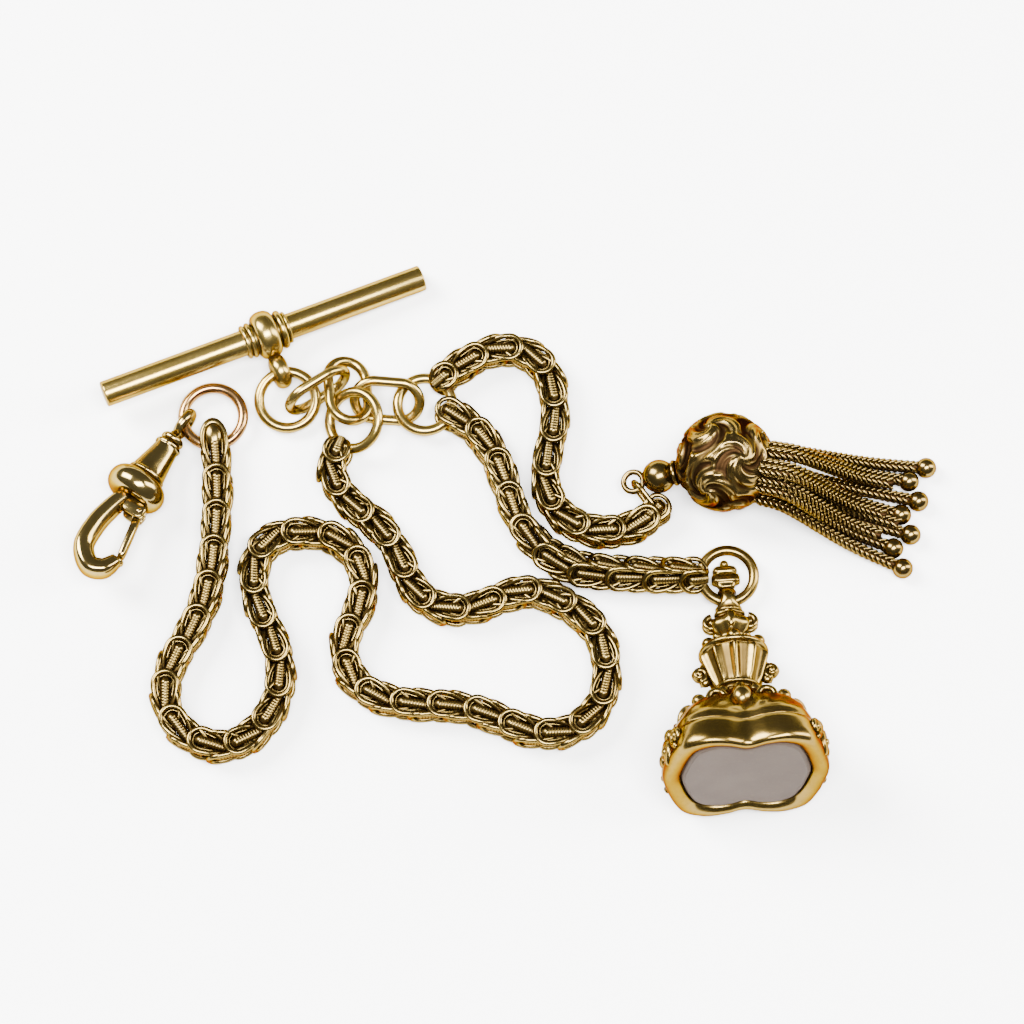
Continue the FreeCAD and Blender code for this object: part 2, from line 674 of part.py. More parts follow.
loop_band = band(
    "seal_loop_band", "sizes.seal_loop_inner_radius", "sizes.seal_loop_outer_radius", "sizes.seal_loop_width"
)
loop_band.Placement.Rotation = Rotation(X_AXIS, 90)
top_bar = add(
    "Part::Box", "seal_top_bar", Length="sizes.seal_bar_depth", Width="sizes.seal_bar_length",
    Height="sizes.seal_bar_height",
)
top_bar.setExpression("Placement.Base.x", "-sizes.seal_bar_depth / 2")
top_bar.setExpression("Placement.Base.y", "-sizes.seal_bar_length / 2")
top_bar.setExpression("Placement.Base.z", "-sizes.seal_loop_outer_radius - 0.9 * sizes.seal_bar_height")
knob = add("Part::Sphere", "seal_knob", Radius="sizes.seal_knob_radius")
knob.setExpression("Placement.Base.z", "-sizes.seal_loop_outer_radius - sizes.seal_bar_height")
foot = add("Part::Cylinder", "seal_foot", Radius="sizes.seal_foot_radius", Height="sizes.seal_foot_height")
foot.Placement.Base.z = SEAL_URN_START - size("seal_foot_height")
foot_clearance = add("Part::Cylinder", "seal_foot_clearance", Radius="sizes.seal_loop_inner_radius")
foot_clearance.Height = HOLE_LENGTH
foot_clearance.Placement = Placement(Y_AXIS * HOLE_LENGTH / 2, Rotation(X_AXIS, 90))
seal_loop = cut(
    "seal_loop", fused("seal_loop_blank", loop_band, top_bar, knob, foot), foot_clearance
)
label(seal_loop, "seal_loop", seal_frame)

urn = turned(
    "seal_urn",
    [
        ("0", "0"),
        ("sizes.seal_foot_radius", "0"),
        ("sizes.seal_urn_radius", "0.25 * sizes.seal_urn_height"),
        ("sizes.seal_urn_radius", "0.55 * sizes.seal_urn_height"),
        ("0.55 * sizes.seal_urn_radius", "0.8 * sizes.seal_urn_height"),
        ("0.8 * sizes.seal_urn_radius", "sizes.seal_urn_height"),
        ("0", "sizes.seal_urn_height"),
    ],
)
label(urn, "seal_urn", on_seal(SEAL_URN_START))

vase_body = turned(
    "vase_body",
    [
        ("0", "0"),
        ("0.7 * sizes.seal_vase_rim_radius", "0"),
        ("sizes.seal_vase_rim_radius", "0.12 * sizes.seal_vase_height"),
        ("sizes.seal_vase_rim_radius", "0.4 * sizes.seal_vase_height"),
        ("sizes.seal_vase_foot_radius", "0.85 * sizes.seal_vase_height"),
        ("sizes.seal_vase_foot_radius", "sizes.seal_vase_height"),
        ("0", "sizes.seal_vase_height"),
    ],
)
vase_parts = [vase_body]
for side in (1, -1):
    handle = add("Part::Sphere", "vase_handle", Radius="sizes.seal_handle_radius")
    handle.setExpression("Placement.Base.y", f"{side} * sizes.seal_handle_offset")
    handle.setExpression("Placement.Base.z", "0.62 * sizes.seal_vase_height")
    vase_parts.append(handle)
    arm = add("Part::Cylinder", "vase_arm", Radius="0.6 * sizes.seal_handle_radius")
    arm.setExpression("Height", "sizes.seal_handle_offset")
    arm.Placement.Rotation = Rotation(X_AXIS, -90 * side)
    arm.setExpression("Placement.Base.z", "0.62 * sizes.seal_vase_height")
    vase_parts.append(arm)
label(fused("seal_vase", *vase_parts), "seal_vase", on_seal(SEAL_VASE_START))

dome = turned(
    "seal_dome",
    [
        ("0", "0"),
        ("sizes.seal_neck_radius", "0"),
        ("sizes.seal_neck_radius * 1.4", "0.2 * sizes.seal_dome_height"),
        ("0.3 * sizes.seal_base_width", "0.45 * sizes.seal_dome_height"),
        ("0.42 * sizes.seal_base_width", "0.75 * sizes.seal_dome_height"),
        ("0.44 * sizes.seal_base_width", "sizes.seal_dome_height"),
        ("0", "sizes.seal_dome_height"),
    ],
)
label(dome, "seal_dome", on_seal(SEAL_DOME_START))

rim_blank = block(
    "rim_blank",
    "sizes.seal_base_depth",
    "sizes.seal_base_width",
    "sizes.seal_base_height",
    "sizes.seal_corner_radius",
)
rim_recess = block(
    "rim_recess",
    "sizes.seal_base_depth - 2 * sizes.seal_lip_width",
    "sizes.seal_base_width - 2 * sizes.seal_lip_width",
    "sizes.seal_base_height",
    "sizes.seal_corner_radius - sizes.seal_lip_width",
)
rim_recess.Placement.Base.z = size("seal_base_height") - size("seal_stone_height")
label(cut("seal_rim", rim_blank, rim_recess), "seal_rim", on_seal(SEAL_BASE_START))

stone = block(
    "seal_stone",
    "sizes.seal_base_depth - 2 * (sizes.seal_lip_width + sizes.seal_stone_gap)",
    "sizes.seal_base_width - 2 * (sizes.seal_lip_width + sizes.seal_stone_gap)",
    "sizes.seal_stone_height - 0.2",
    "sizes.seal_corner_radius - sizes.seal_lip_width",
)
stone_start = SEAL_BASE_START + size("seal_base_height") - size("seal_stone_height") + 0.02
label(stone, "seal_stone", on_seal(stone_start))

# ---------------------------------------------------------------- check and export
doc.recompute()
for piece in doc.Objects:
    if {"Invalid", "Error"} & set(piece.State):
        raise RuntimeError(f"{piece.Label} did not recompute: {piece.State}")
outline = FreeCAD.BoundBox()
for piece in nodes:
    outline.add(piece.Shape.optimalBoundingBox(False))
origin_shift = Vector(-outline.Center.x, -outline.Center.y, -outline.ZMin)
for piece in nodes:
    piece.Placement = Placement(origin_shift, Rotation()).multiply(piece.Placement)
doc.recompute()

os.makedirs("parts", exist_ok=True)
for piece in nodes:
    if piece.Shape.isNull() or not piece.Shape.isValid() or piece.Shape.Volume <= 0:
        raise RuntimeError(f"{piece.Label} has no valid solid")
    piece.Shape.exportStep(f"parts/{piece.Label}.step")
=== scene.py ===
import json
import math

import bpy
import numpy as np
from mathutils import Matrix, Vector


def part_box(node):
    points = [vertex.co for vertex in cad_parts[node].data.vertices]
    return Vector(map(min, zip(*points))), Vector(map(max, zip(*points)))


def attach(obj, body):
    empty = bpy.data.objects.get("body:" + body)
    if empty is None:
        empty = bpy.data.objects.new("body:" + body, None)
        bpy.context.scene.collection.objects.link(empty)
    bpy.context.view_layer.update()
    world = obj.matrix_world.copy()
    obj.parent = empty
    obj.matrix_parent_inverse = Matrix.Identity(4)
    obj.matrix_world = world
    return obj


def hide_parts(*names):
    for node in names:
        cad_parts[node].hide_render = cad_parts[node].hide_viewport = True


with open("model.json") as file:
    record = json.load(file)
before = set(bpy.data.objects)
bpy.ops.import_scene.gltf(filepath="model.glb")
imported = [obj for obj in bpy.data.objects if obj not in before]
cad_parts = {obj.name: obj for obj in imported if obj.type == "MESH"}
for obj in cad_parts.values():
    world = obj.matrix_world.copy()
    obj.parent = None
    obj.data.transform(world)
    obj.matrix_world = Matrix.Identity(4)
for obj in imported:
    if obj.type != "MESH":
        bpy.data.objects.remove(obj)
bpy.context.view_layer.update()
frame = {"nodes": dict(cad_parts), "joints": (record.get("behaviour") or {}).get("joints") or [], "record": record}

MM = 0.001
TAU = 2 * math.pi
joints = {joint["name"]: joint for joint in frame["joints"]}
random = np.random.default_rng(11)


# ---------------------------------------------------------------- shapes, in millimetres
NEAR_AXIS = 0.02  # radius at which a turned profile stops, just short of its axis
POLE_GAP = 0.02  # angle in radians by which the rows of a ball stop short of its poles


def unit(v):
    v = np.asarray(v, float)
    return v / np.linalg.norm(v, axis=-1, keepdims=True)


def full_turn(count):
    return np.arange(count) * TAU / count


def half_turn(count):
    """Angles from straight down to straight up, for domed profiles."""
    return np.linspace(-math.pi / 2, math.pi / 2, count)


def disc(radius, count, power=2.0):
    """A round outline; a higher power squares it."""
    turn = full_turn(count)
    c, s = np.cos(turn), np.sin(turn)
    shape = np.sign(c) * abs(c) ** (2 / power), np.sign(s) * abs(s) ** (2 / power)
    return radius * np.stack(shape, axis=1)


def through(points, steps, closed=False):
    """A smooth line through the points, with steps places for each span."""
    p = np.asarray(points, float)
    count = len(p)
    spans = count if closed else count - 1
    if closed:
        before, after, far = np.roll(p, 1, 0), np.roll(p, -1, 0), np.roll(p, -2, 0)
    else:
        wide = np.vstack([2 * p[0] - p[1], p, 2 * p[-1] - p[-2]])
        before, p, after, far = wide[:-3], wide[1:-2], wide[2:-1], wide[3:]
    t = (np.arange(steps) / steps)[None, :, None]
    a, b, c, d = (q[:spans, None, :] for q in (before, p, after, far))
    line = 0.5 * (2 * b + (c - a) * t + (2 * a - 5 * b + 4 * c - d) * t**2 + (3 * b - a - 3 * c + d) * t**3)
    line = line.reshape(-1, line.shape[-1])
    return line if closed else np.vstack([line, after[-1]])


class Shape:
    """Points, faces, and how proud each point stands: 0 deep in a recess, painted as shaded, 1 where polished."""

    def __init__(self):
        self.points, self.faces, self.proud, self.size = [], [], [], 0

    def take(self, points, faces, proud):
        self.points.append(np.asarray(points, float))
        self.faces += [np.asarray(face) + self.size for face in faces]
        self.proud.append(np.broadcast_to(np.asarray(proud, float), len(points)))
        self.size += len(points)
        return self

    def grid(self, rows, loop=False, proud=1.0):
        """A skin over rows of points. Each row is a closed outline; loop joins last row to first."""
        count, across = rows.shape[:2]
        index = np.arange(count * across).reshape(count, across)
        below = index if loop else index[:-1]
        above = np.roll(index, -1, 0) if loop else index[1:]
        faces = [np.stack([below, np.roll(below, -1, 1), np.roll(above, -1, 1), above], -1).reshape(-1, 4)]
        if not loop:
            faces += [index[0][None, ::-1], index[-1][None]]
        proud = np.broadcast_to(np.asarray(proud, float), (count, across)).reshape(-1)
        return self.take(rows.reshape(-1, 3), faces, proud)

    def sweep(self, path, section, up, closed=False, scale=1.0, proud=1.0):
        """The section carried along the path; up is the direction its second coordinate follows."""
        if closed:
            ahead = unit(np.roll(path, -1, 0) - np.roll(path, 1, 0))
        else:
            ahead = unit(np.gradient(path, axis=0))
        side = unit(np.cross(ahead, np.asarray(up, float)))
        top = np.cross(side, ahead)
        scale = np.broadcast_to(np.asarray(scale, float).reshape(-1, 1), (len(path), 1))
        wide = (scale * section[None, :, 0])[..., None] * side[:, None, :]
        high = (scale * section[None, :, 1])[..., None] * top[:, None, :]
        return self.grid(path[:, None, :] + wide + high, closed, proud)

    def lathe(self, profile, segments, loop=False):
        """A profile of (radius, height) points turned about Z."""
        turn = full_turn(segments)
        r, z = (np.asarray(profile, float)[:, k, None] for k in (0, 1))
        return self.grid(np.stack([r * np.cos(turn), r * np.sin(turn), z + 0 * turn], -1), loop)

    def ball(self, centre, radius, segments, stretch=(1, 1, 1)):
        up = np.linspace(POLE_GAP, math.pi - POLE_GAP, segments // 2)
        part = Shape().lathe(np.stack([np.sin(up), np.cos(up)], 1), segments)
        return self.join(part, np.asarray(centre), np.diag(np.asarray(stretch, float) * radius))

    def join(self, other, origin=(0, 0, 0), axes=np.eye(3)):
        """Takes in another shape, with its x, y and z along the rows of axes and its origin moved."""
        points, proud, faces = other.whole()
        return self.take(points @ np.asarray(axes) + np.asarray(origin), faces, proud)

    def whole(self):
        return np.vstack(self.points), np.concatenate(self.proud), self.faces


def axes_along(z, x_hint):
    """Rows x, y, z of a frame whose z looks one way and whose x lies nearest the hint."""
    z = unit(z)
    y = unit(np.cross(z, x_hint))
    return np.stack([np.cross(y, z), y, z])


def joint_place(name):
    return np.array(joints[name]["pos_m"]) / MM


def joint_axis(name):
    return unit(joints[name]["axis"])


def points_of(node):
    return np.array([v.co for v in frame["nodes"][node].data.vertices]) / MM


def middle(node):
    low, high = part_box(node)
    return np.array(low + high) / 2 / MM


def flat_place(points):
    """Centre of a flat ring, and rows: its long way, its short way, its normal."""
    centre = points.mean(0)
    axes = np.linalg.svd(points - centre, full_matrices=False)[2]
    local = (points - centre) @ axes.T
    return centre + (local.max(0) + local.min(0)) / 2 @ axes, axes


bodies = frame["record"]["behaviour"]["bodies"]
body_of_node = {node: body for body, nodes in bodies.items() for node in nodes}
slot_of_node = {part["node"]: part["material_slot"] for part in frame["record"]["subparts"]}


def piece(node, shape, origin=(0, 0, 0), axes=np.eye(3)):
    """The finished look of one CAD node: made into an object that rides on the node's body."""
    placed = Shape().join(shape, origin, axes)
    points, proud, faces = placed.whole()
    rows = [row for group in faces for row in group.tolist()]
    mesh = bpy.data.meshes.new(f"{node}_look")
    mesh.from_pydata((points * MM).tolist(), [], rows)
    # the proud attribute tells the materials where to paint shade
    mesh.attributes.new("proud", "FLOAT", "POINT").data.foreach_set("value", proud.astype(np.float32))
    mesh.polygons.foreach_set("use_smooth", np.ones(len(mesh.polygons), bool))
    mesh.update()
    thing = bpy.data.objects.new(f"{node}_look", mesh)
    bpy.context.scene.collection.objects.link(thing)
    mesh.materials.append(materials[slot_of_node[node]])
    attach(thing, body_of_node[node])
    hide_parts(node)
    return thing


# ---------------------------------------------------------------- materials
PATCH_SCALE, FINE_SCALE = 260, 2600
# ambient occlusion that finds the recesses where the metals get painted shade: its samples and reach
SHELTER_SAMPLES, SHELTER_REACH = 6, 0.9 * MM
RECESS_ROUGHNESS = 0.3  # what recesses, where shade is painted, add to the roughness
EDGE_TINT = (0.34, 0.24, 0.09, 1)  # keeps the grazing edges of the metal from turning white
BUMP_STRENGTH, BUMP_HEIGHT = 0.03, 0.05 * MM
CLOUD_SCALE, FLECK_SCALE = 320, 2400
STONE_DARK, STONE_LIGHT, STONE_FLECK = (0.052, 0.037, 0.028), (0.059, 0.043, 0.033), (0.08, 0.061, 0.047)
STONE_SPECULAR = 0.06
STONE_DEPTH, STONE_GLOW = (0.6 * MM, 0.5 * MM, 0.4 * MM), 0.15


def new_material(name):
    material = bpy.data.materials.new(name)
    material.use_nodes = True
    nodes, links = material.node_tree.nodes, material.node_tree.links
    return material, nodes, links, nodes["Principled BSDF"]


def mapped(nodes, links, value, low, high, out_low, out_high):
    node = nodes.new("ShaderNodeMapRange")
    for key, number in (("From Min", low), ("From Max", high), ("To Min", out_low), ("To Max", out_high)):
        node.inputs[key].default_value = number
    links.new(value, node.inputs["Value"])
    return node.outputs["Result"]


def noise(nodes, links, place, scale, detail=4.0):
    node = nodes.new("ShaderNodeTexNoise")
    node.inputs["Scale"].default_value = scale
    node.inputs["Detail"].default_value = detail
    links.new(place, node.inputs["Vector"])
    return node.outputs["Fac"]


def math_node(nodes, links, operation, first, second):
    node = nodes.new("ShaderNodeMath")
    node.operation = operation
    for socket, value in zip(node.inputs, (first, second)):
        if isinstance(value, (int, float)):
            socket.default_value = value
        else:
            links.new(value, socket)
    return node.outputs[0]


def mixed(nodes, links, factor, first, second):
    node = nodes.new("ShaderNodeMix")
    node.data_type = "RGBA"
    links.new(factor, node.inputs["Factor"])
    for key, value in (("A", first), ("B", second)):
        socket = next(s for s in node.inputs if s.name == key and s.type == "RGBA")
        if isinstance(value, tuple):
            socket.default_value = (*value, 1)
        else:
            links.new(value, socket)
    return next(s for s in node.outputs if s.type == "RGBA")


def metal_with_painted_shade(name, colour, second, shade_colour, shade_depth, polish):
    """Metal in two close hues, darkened by painted shade and rougher in recesses and sheltered places, with a fine
    grain.
    Its shade depth is how far the painted shade darkens it and polish is the roughness of its unshaded parts."""
    material, nodes, links, shader = new_material(name)
    place = nodes.new("ShaderNodeTexCoord").outputs["Object"]
    patches = noise(nodes, links, place, PATCH_SCALE)
    fine = noise(nodes, links, place, FINE_SCALE)
    proud = nodes.new("ShaderNodeAttribute")
    proud.attribute_name = "proud"
    shelter = nodes.new("ShaderNodeAmbientOcclusion")
    shelter.samples = SHELTER_SAMPLES
    shelter.inputs["Distance"].default_value = SHELTER_REACH
    # painted shade: where occlusion finds a recess or proud is low, the base colour goes to the shade colour
    open_part = mapped(nodes, links, shelter.outputs["AO"], 0.2, 0.8, 1 - shade_depth, 1)
    high_part = mapped(nodes, links, proud.outputs["Fac"], 0.1, 0.8, 0, 1)
    unshaded = math_node(nodes, links, "MULTIPLY", open_part, high_part)
    speckled = mapped(nodes, links, fine, 0.3, 0.7, 0.86, 1.08)
    unshaded = math_node(nodes, links, "MULTIPLY", unshaded, speckled)
    metal = mixed(nodes, links, mapped(nodes, links, patches, 0.35, 0.65, 0, 1), colour, second)
    links.new(mixed(nodes, links, unshaded, shade_colour, metal), shader.inputs["Base Color"])
    roughness = mapped(nodes, links, unshaded, 0, 1, polish + RECESS_ROUGHNESS, polish)
    links.new(roughness, shader.inputs["Roughness"])
    shader.inputs["Metallic"].default_value = 1.0
    shader.inputs["Specular Tint"].default_value = EDGE_TINT
    bump = nodes.new("ShaderNodeBump")
    bump.inputs["Strength"].default_value = BUMP_STRENGTH
    bump.inputs["Distance"].default_value = BUMP_HEIGHT
    links.new(math_node(nodes, links, "ADD", patches, fine), bump.inputs["Height"])
    links.new(bump.outputs["Normal"], shader.inputs["Normal"])
    return material


def chalcedony():
    """Grey-brown stone: cloudy, finely flecked, a little see-into, with a satin face."""
    material, nodes, links, shader = new_material("chalcedony")
    place = nodes.new("ShaderNodeTexCoord").outputs["Object"]
    clouds = noise(nodes, links, place, CLOUD_SCALE, 6)
    grains = noise(nodes, links, place, FLECK_SCALE, 3)
    cloudy = mapped(nodes, links, clouds, 0.35, 0.65, 0, 1)
    base = mixed(nodes, links, cloudy, STONE_DARK, STONE_LIGHT)
    flecks = mapped(nodes, links, grains, 0.55, 0.75, 0, 0.4)
    links.new(mixed(nodes, links, flecks, base, STONE_FLECK), shader.inputs["Base Color"])
    links.new(mapped(nodes, links, grains, 0.3, 0.7, 0.42, 0.52), shader.inputs["Roughness"])
    shader.inputs["Specular IOR Level"].default_value = STONE_SPECULAR
    shader.inputs["Subsurface Weight"].default_value = STONE_GLOW
    shader.inputs["Subsurface Radius"].default_value = STONE_DEPTH
    return material


# colours of the painted shade in the metals' recesses
SHADE_BROWN, SHADE_DEEP = (0.06, 0.033, 0.012), (0.016, 0.008, 0.003)
# each metal: its colour, its second hue, the colour of its painted shade, how far that shade darkens it, and
# polish
METALS = {
    "bright_gold": ((0.27, 0.185, 0.042), (0.31, 0.22, 0.062), SHADE_BROWN, 0.4, 0.22),
    "rose_gold": ((0.29, 0.155, 0.06), (0.31, 0.19, 0.07), SHADE_BROWN, 0.4, 0.18),
    "clip_gold": ((0.25, 0.175, 0.052), (0.28, 0.205, 0.07), SHADE_BROWN, 0.7, 0.13),
    "chain_gold": ((0.135, 0.09, 0.024), (0.16, 0.113, 0.034), SHADE_DEEP, 1.0, 0.18),
    "tassel_gold": ((0.13, 0.085, 0.024), (0.15, 0.103, 0.032), SHADE_DEEP, 1.0, 0.18),
    "seal_gold": ((0.15, 0.098, 0.023), (0.175, 0.118, 0.032), (0.025, 0.013, 0.004), 1.0, 0.2),
    "spring_steel": ((0.55, 0.54, 0.52), (0.48, 0.47, 0.46), (0.1, 0.09, 0.08), 0.5, 0.25),
}
materials = {name: metal_with_painted_shade(name, *look) for name, look in METALS.items()}
materials["chalcedony"] = chalcedony()

# ---------------------------------------------------------------- T-bar, its collars and bail
# Their own frame: z runs along the bar and x from the bail's middle towards the drop ring.
BAR_RADIUS, BAR_EDGE = 1.25, 0.16
BAIL_INNER, BAIL_OUTER, BAIL_WIDTH = 1.4, 2.38, 2.2
DROP_INNER, DROP_OUTER, DROP_WIDTH, DROP_DISTANCE = 0.8, 1.7, 1.6, 3.75
BAND_LIP, BAND_WALL = 0.12, 0.36
# the rings of each collar: where along the bar, and the radius of the wire
COLLARS = {"left": ((-1.5, 0.26), (-2.05, 0.22)), "right": ((1.55, 0.34), (2.12, 0.18))}
COLLAR_SINK = 0.03
NECK = [(0.62, 1.9), (0.5, 2.1), (0.62, 2.25), (0.62, 2.35), (0.5, 2.5), (0.7, 2.8)]
NECK_AXES = np.array([[0, 1, 0], [0, 0, 1], [1, 0, 0]])


def d_band(inner, outer, width):
    """Profile of a ring with a flat inner wall and a domed outside."""
    turn = half_turn(14)
    dome = inner + BAND_LIP + (outer - inner - BAND_LIP) * np.cos(turn) ** 0.8
    wall = [(inner, BAND_WALL * width), (inner, 0.0), (inner, -BAND_WALL * width)]
    return np.vstack([np.stack([dome, width / 2 * np.sin(turn)], 1), wall])


bail_centre = joint_place("bail_turn")
bar_way = joint_axis("bail_turn")
drop_way = points_of("t_bar_bail").mean(0) - bail_centre
bar_axes = axes_along(bar_way, drop_way)

reach = (points_of("t_bar") - bail_centre) @ bar_way
low, high = reach.min(), reach.max()
edge = np.linspace(0, math.pi / 2, 6)
flank = BAR_RADIUS - BAR_EDGE
low_end = np.stack([flank + BAR_EDGE * np.sin(edge), low + BAR_EDGE - BAR_EDGE * np.cos(edge)], 1)
high_end = np.stack([flank + BAR_EDGE * np.cos(edge), high - BAR_EDGE + BAR_EDGE * np.sin(edge)], 1)
bar = Shape().lathe(np.vstack([[NEAR_AXIS, low], low_end, high_end, [NEAR_AXIS, high]]), 72)
piece("t_bar", bar, bail_centre, bar_axes)

turn = full_turn(14)
for side, rings in COLLARS.items():
    collar = Shape()
    for along, wire in rings:
        out = BAR_RADIUS + wire * (1 + np.cos(turn)) - COLLAR_SINK
        collar.lathe(np.stack([out, along + wire * np.sin(turn)], 1), 64, loop=True)
    piece(f"bar_collars_{side}", collar, bail_centre, bar_axes)

bail = Shape().lathe(d_band(BAIL_INNER, BAIL_OUTER, BAIL_WIDTH), 72, loop=True)
drop = Shape().lathe(d_band(DROP_INNER, DROP_OUTER, DROP_WIDTH), 64, loop=True)
bail.join(drop, (DROP_DISTANCE, 0, 0))
bail.join(Shape().lathe(NECK, 32), (0, 0, 0), NECK_AXES)
piece("t_bar_bail", bail, bail_centre, bar_axes)

# ---------------------------------------------------------------- rings and oval links
RING_WIRE = 0.5
RINGS = {"bail_ring": 2.7, "drop_ring": 2.6, "long_chain_ring": 2.7, "clip_ring": 2.85, "seal_ring": 2.5}
OVAL_END, OVAL_STRAIGHT = 1.9, 2.4
SEAM_DEPTH = 0.03  # share of the wire's radius
# how many steps round its path a ring's seam sits: for the first ring, and how much more for each next
RING_SEAM_FIRST, RING_SEAM_STEP, OVAL_SEAM_STEP = 9, 17, 20
FLAT = (0, 0, 1)  # what is up for a path that lies flat


def stadium(end, straight, count):
    """Two half circles joined by straight sides; without straight sides it is a circle."""
    turn = full_turn(count)
    x = end * np.cos(turn) + straight / 2 * np.sign(np.cos(turn))
    return np.stack([x, end * np.sin(turn), 0 * turn], 1)


def wire_loop(path, wire, seam):
    """A closed wire with a soldered seam: a faint narrow groove round it at one place."""
    away = np.minimum(np.arange(len(path)), len(path) - np.arange(len(path)))
    groove = np.roll(np.where(away == 0, SEAM_DEPTH, 0.0), seam)
    return Shape().sweep(path, disc(wire, 20), FLAT, True, 1 - groove)


for number, (node, radius) in enumerate(RINGS.items()):
    centre, axes = flat_place(points_of(node))
    seam = RING_SEAM_STEP * number + RING_SEAM_FIRST
    piece(node, wire_loop(stadium(radius, 0, 96), RING_WIRE, seam), centre, axes)
for number, node in enumerate(("oval_link_upper", "oval_link_middle", "oval_link_lower")):
    centre, axes = flat_place(points_of(node))
    path = stadium(OVAL_END, OVAL_STRAIGHT, 96)
    piece(node, wire_loop(path, RING_WIRE, OVAL_SEAM_STEP * number), centre, axes)

# ---------------------------------------------------------------- fancy links
# One link is a wire folded in two: both ends are arches that point along +x, one above, one below.
LINK_WIRE, INNER_WIRE = 0.26, 0.1
ARCH = [(1.62, 0, 1.18), (1.38, 0.68, 1.19), (0.72, 1.1, 1.16), (-0.3, 1.06, 1.02), (-1.2, 0.8, 0.7)]
FOLD = [(-1.75, 0.5, 0.35), (-1.9, 0.4, 0.0)]
INNER_ARCH = [(-0.9, 0.6, 0.72), (-0.1, 0.74, 0.86), (0.6, 0.76, 0.94), (1.05, 0.52, 0.96), (1.24, 0, 0.96)]
STRIP_TIP, STRIP_BACK, STRIP_HALF, RIB_PITCH = 0.8, -2.0, 0.5, 0.27
STRIP_THICK, STRIP_UNDER = 0.42, -0.2
STRIP_HEIGHT, STRIP_BACK_DROP, STRIP_TIP_DROP = 0.9, 0.3, 0.4
UP_DOWN, LEFT_RIGHT = np.array([1, 1, -1]), np.array([1, -1, 1])


def fancy_link(back=1.0, front=1.0):
    """One link; back and front shorten or lengthen the parts behind and ahead of its middle."""
    link = Shape()
    quarter = np.array(ARCH + FOLD)
    half = np.vstack([quarter, (quarter[:-1] * UP_DOWN)[::-1]])
    ring = np.vstack([half, (half[1:-1] * LEFT_RIGHT)[::-1]])
    wire = through(ring, 3, closed=True)
    outward = wire * (0, 0.3, 1) + (0, 0, 1e-3)
    link.sweep(wire, disc(LINK_WIRE, 8), unit(outward), True)
    inner = np.array(INNER_ARCH)
    inner = through(np.vstack([inner, (inner[:-1] * LEFT_RIGHT)[::-1]]), 3)
    x = np.arange(STRIP_TIP, STRIP_BACK, -RIB_PITCH / 4)
    rib = abs(np.cos(math.pi * x / RIB_PITCH)) ** 0.6
    drop = np.clip((0.5 - x) / 2.6, 0, 1)
    tip = np.clip((x - 0.6) / 0.4, 0, 1)
    height = STRIP_HEIGHT - STRIP_BACK_DROP * drop - STRIP_TIP_DROP * tip
    spine = np.stack([x, 0 * x, height], 1)
    half_round = disc(1, 12)
    half_round[:, 1] = np.maximum(half_round[:, 1], STRIP_UNDER) * STRIP_THICK
    half_round[:, 0] *= STRIP_HALF
    narrow = (0.84 + 0.16 * rib) * (1 - 0.12 * drop)
    # painted shade: the strip is painted darker in the grooves between its ribs
    proud = (0.05 + 0.7 * rib)[:, None]
    for flip in (1, -1):
        link.sweep(inner * (1, 1, flip), disc(INNER_WIRE, 6), (0, 0, flip))
        link.sweep(spine * (1, 1, flip), half_round, (0, 0, flip), scale=narrow, proud=proud)
    for points in link.points:
        points[:, 0] *= np.where(points[:, 0] < 0, back, front)
    return link


def rings_in(node):
    """The separate rings of a chain piece, each as its points."""
    mesh = frame["nodes"][node].data
    points = points_of(node)
    same = {}
    owner = np.array([same.setdefault(tuple(p), i) for i, p in enumerate(np.round(points, 3).tolist())])

    def root(i):
        while owner[i] != i:
            owner[i] = owner[owner[i]]
            i = owner[i]
        return i

    for face in mesh.polygons:
        first = root(face.vertices[0])
        for other in face.vertices[1:]:
            owner[root(other)] = first
    roots = np.array([root(i) for i in range(len(points))])
    return [points[roots == r] for r in np.unique(roots)]


def in_order(places, start):
    """The places sorted along the chain, from the one nearest the start."""
    left, here, order = list(places), start, []
    while left:
        nearest = min(left, key=lambda place: np.linalg.norm(place[0] - here))
        left = [place for place in left if place is not nearest]
        order.append(nearest)
        here = nearest[0]
    return order


# each chain: how many pieces it has, whether its arches point away from its start (1) or towards it
# (-1), and by how many degrees its links are rolled at its far end
CHAINS = {"long_chain": (14, 1, 0), "tassel_chain": (4, 1, 0), "seal_chain": (3, -1, 45)}
ROLL_JITTER = 3.0
ROLL_START, ROLL_SPAN, ROLL_LIFT = 0.35, 0.25, 0.38
UPWARDS = (0.31, 0.2, 1)  # mostly up, and tilted so that a level direction gets a sign too
TURNED_OVER = -0.5  # a link whose outward way points further down than this is turned over
HOOD_PLACE, HOOD_HALF_SIZES = (1.3, 0, 0.62), (1.5, 1.05, 0.75)
one_link, short_back = fancy_link(), fancy_link(back=0.5)
hooded = fancy_link(front=1.5).ball(HOOD_PLACE, 1, 28, HOOD_HALF_SIZES)
short_front = fancy_link(front=0.8)
END_LINKS = {
    ("long_chain", "first"): short_back,
    ("long_chain", "last"): hooded,
    ("tassel_chain", "first"): short_back,
    ("tassel_chain", "last"): short_front,
    ("seal_chain", "last"): short_back,
}
END_ROLLS = {("tassel_chain", "last"): 90}
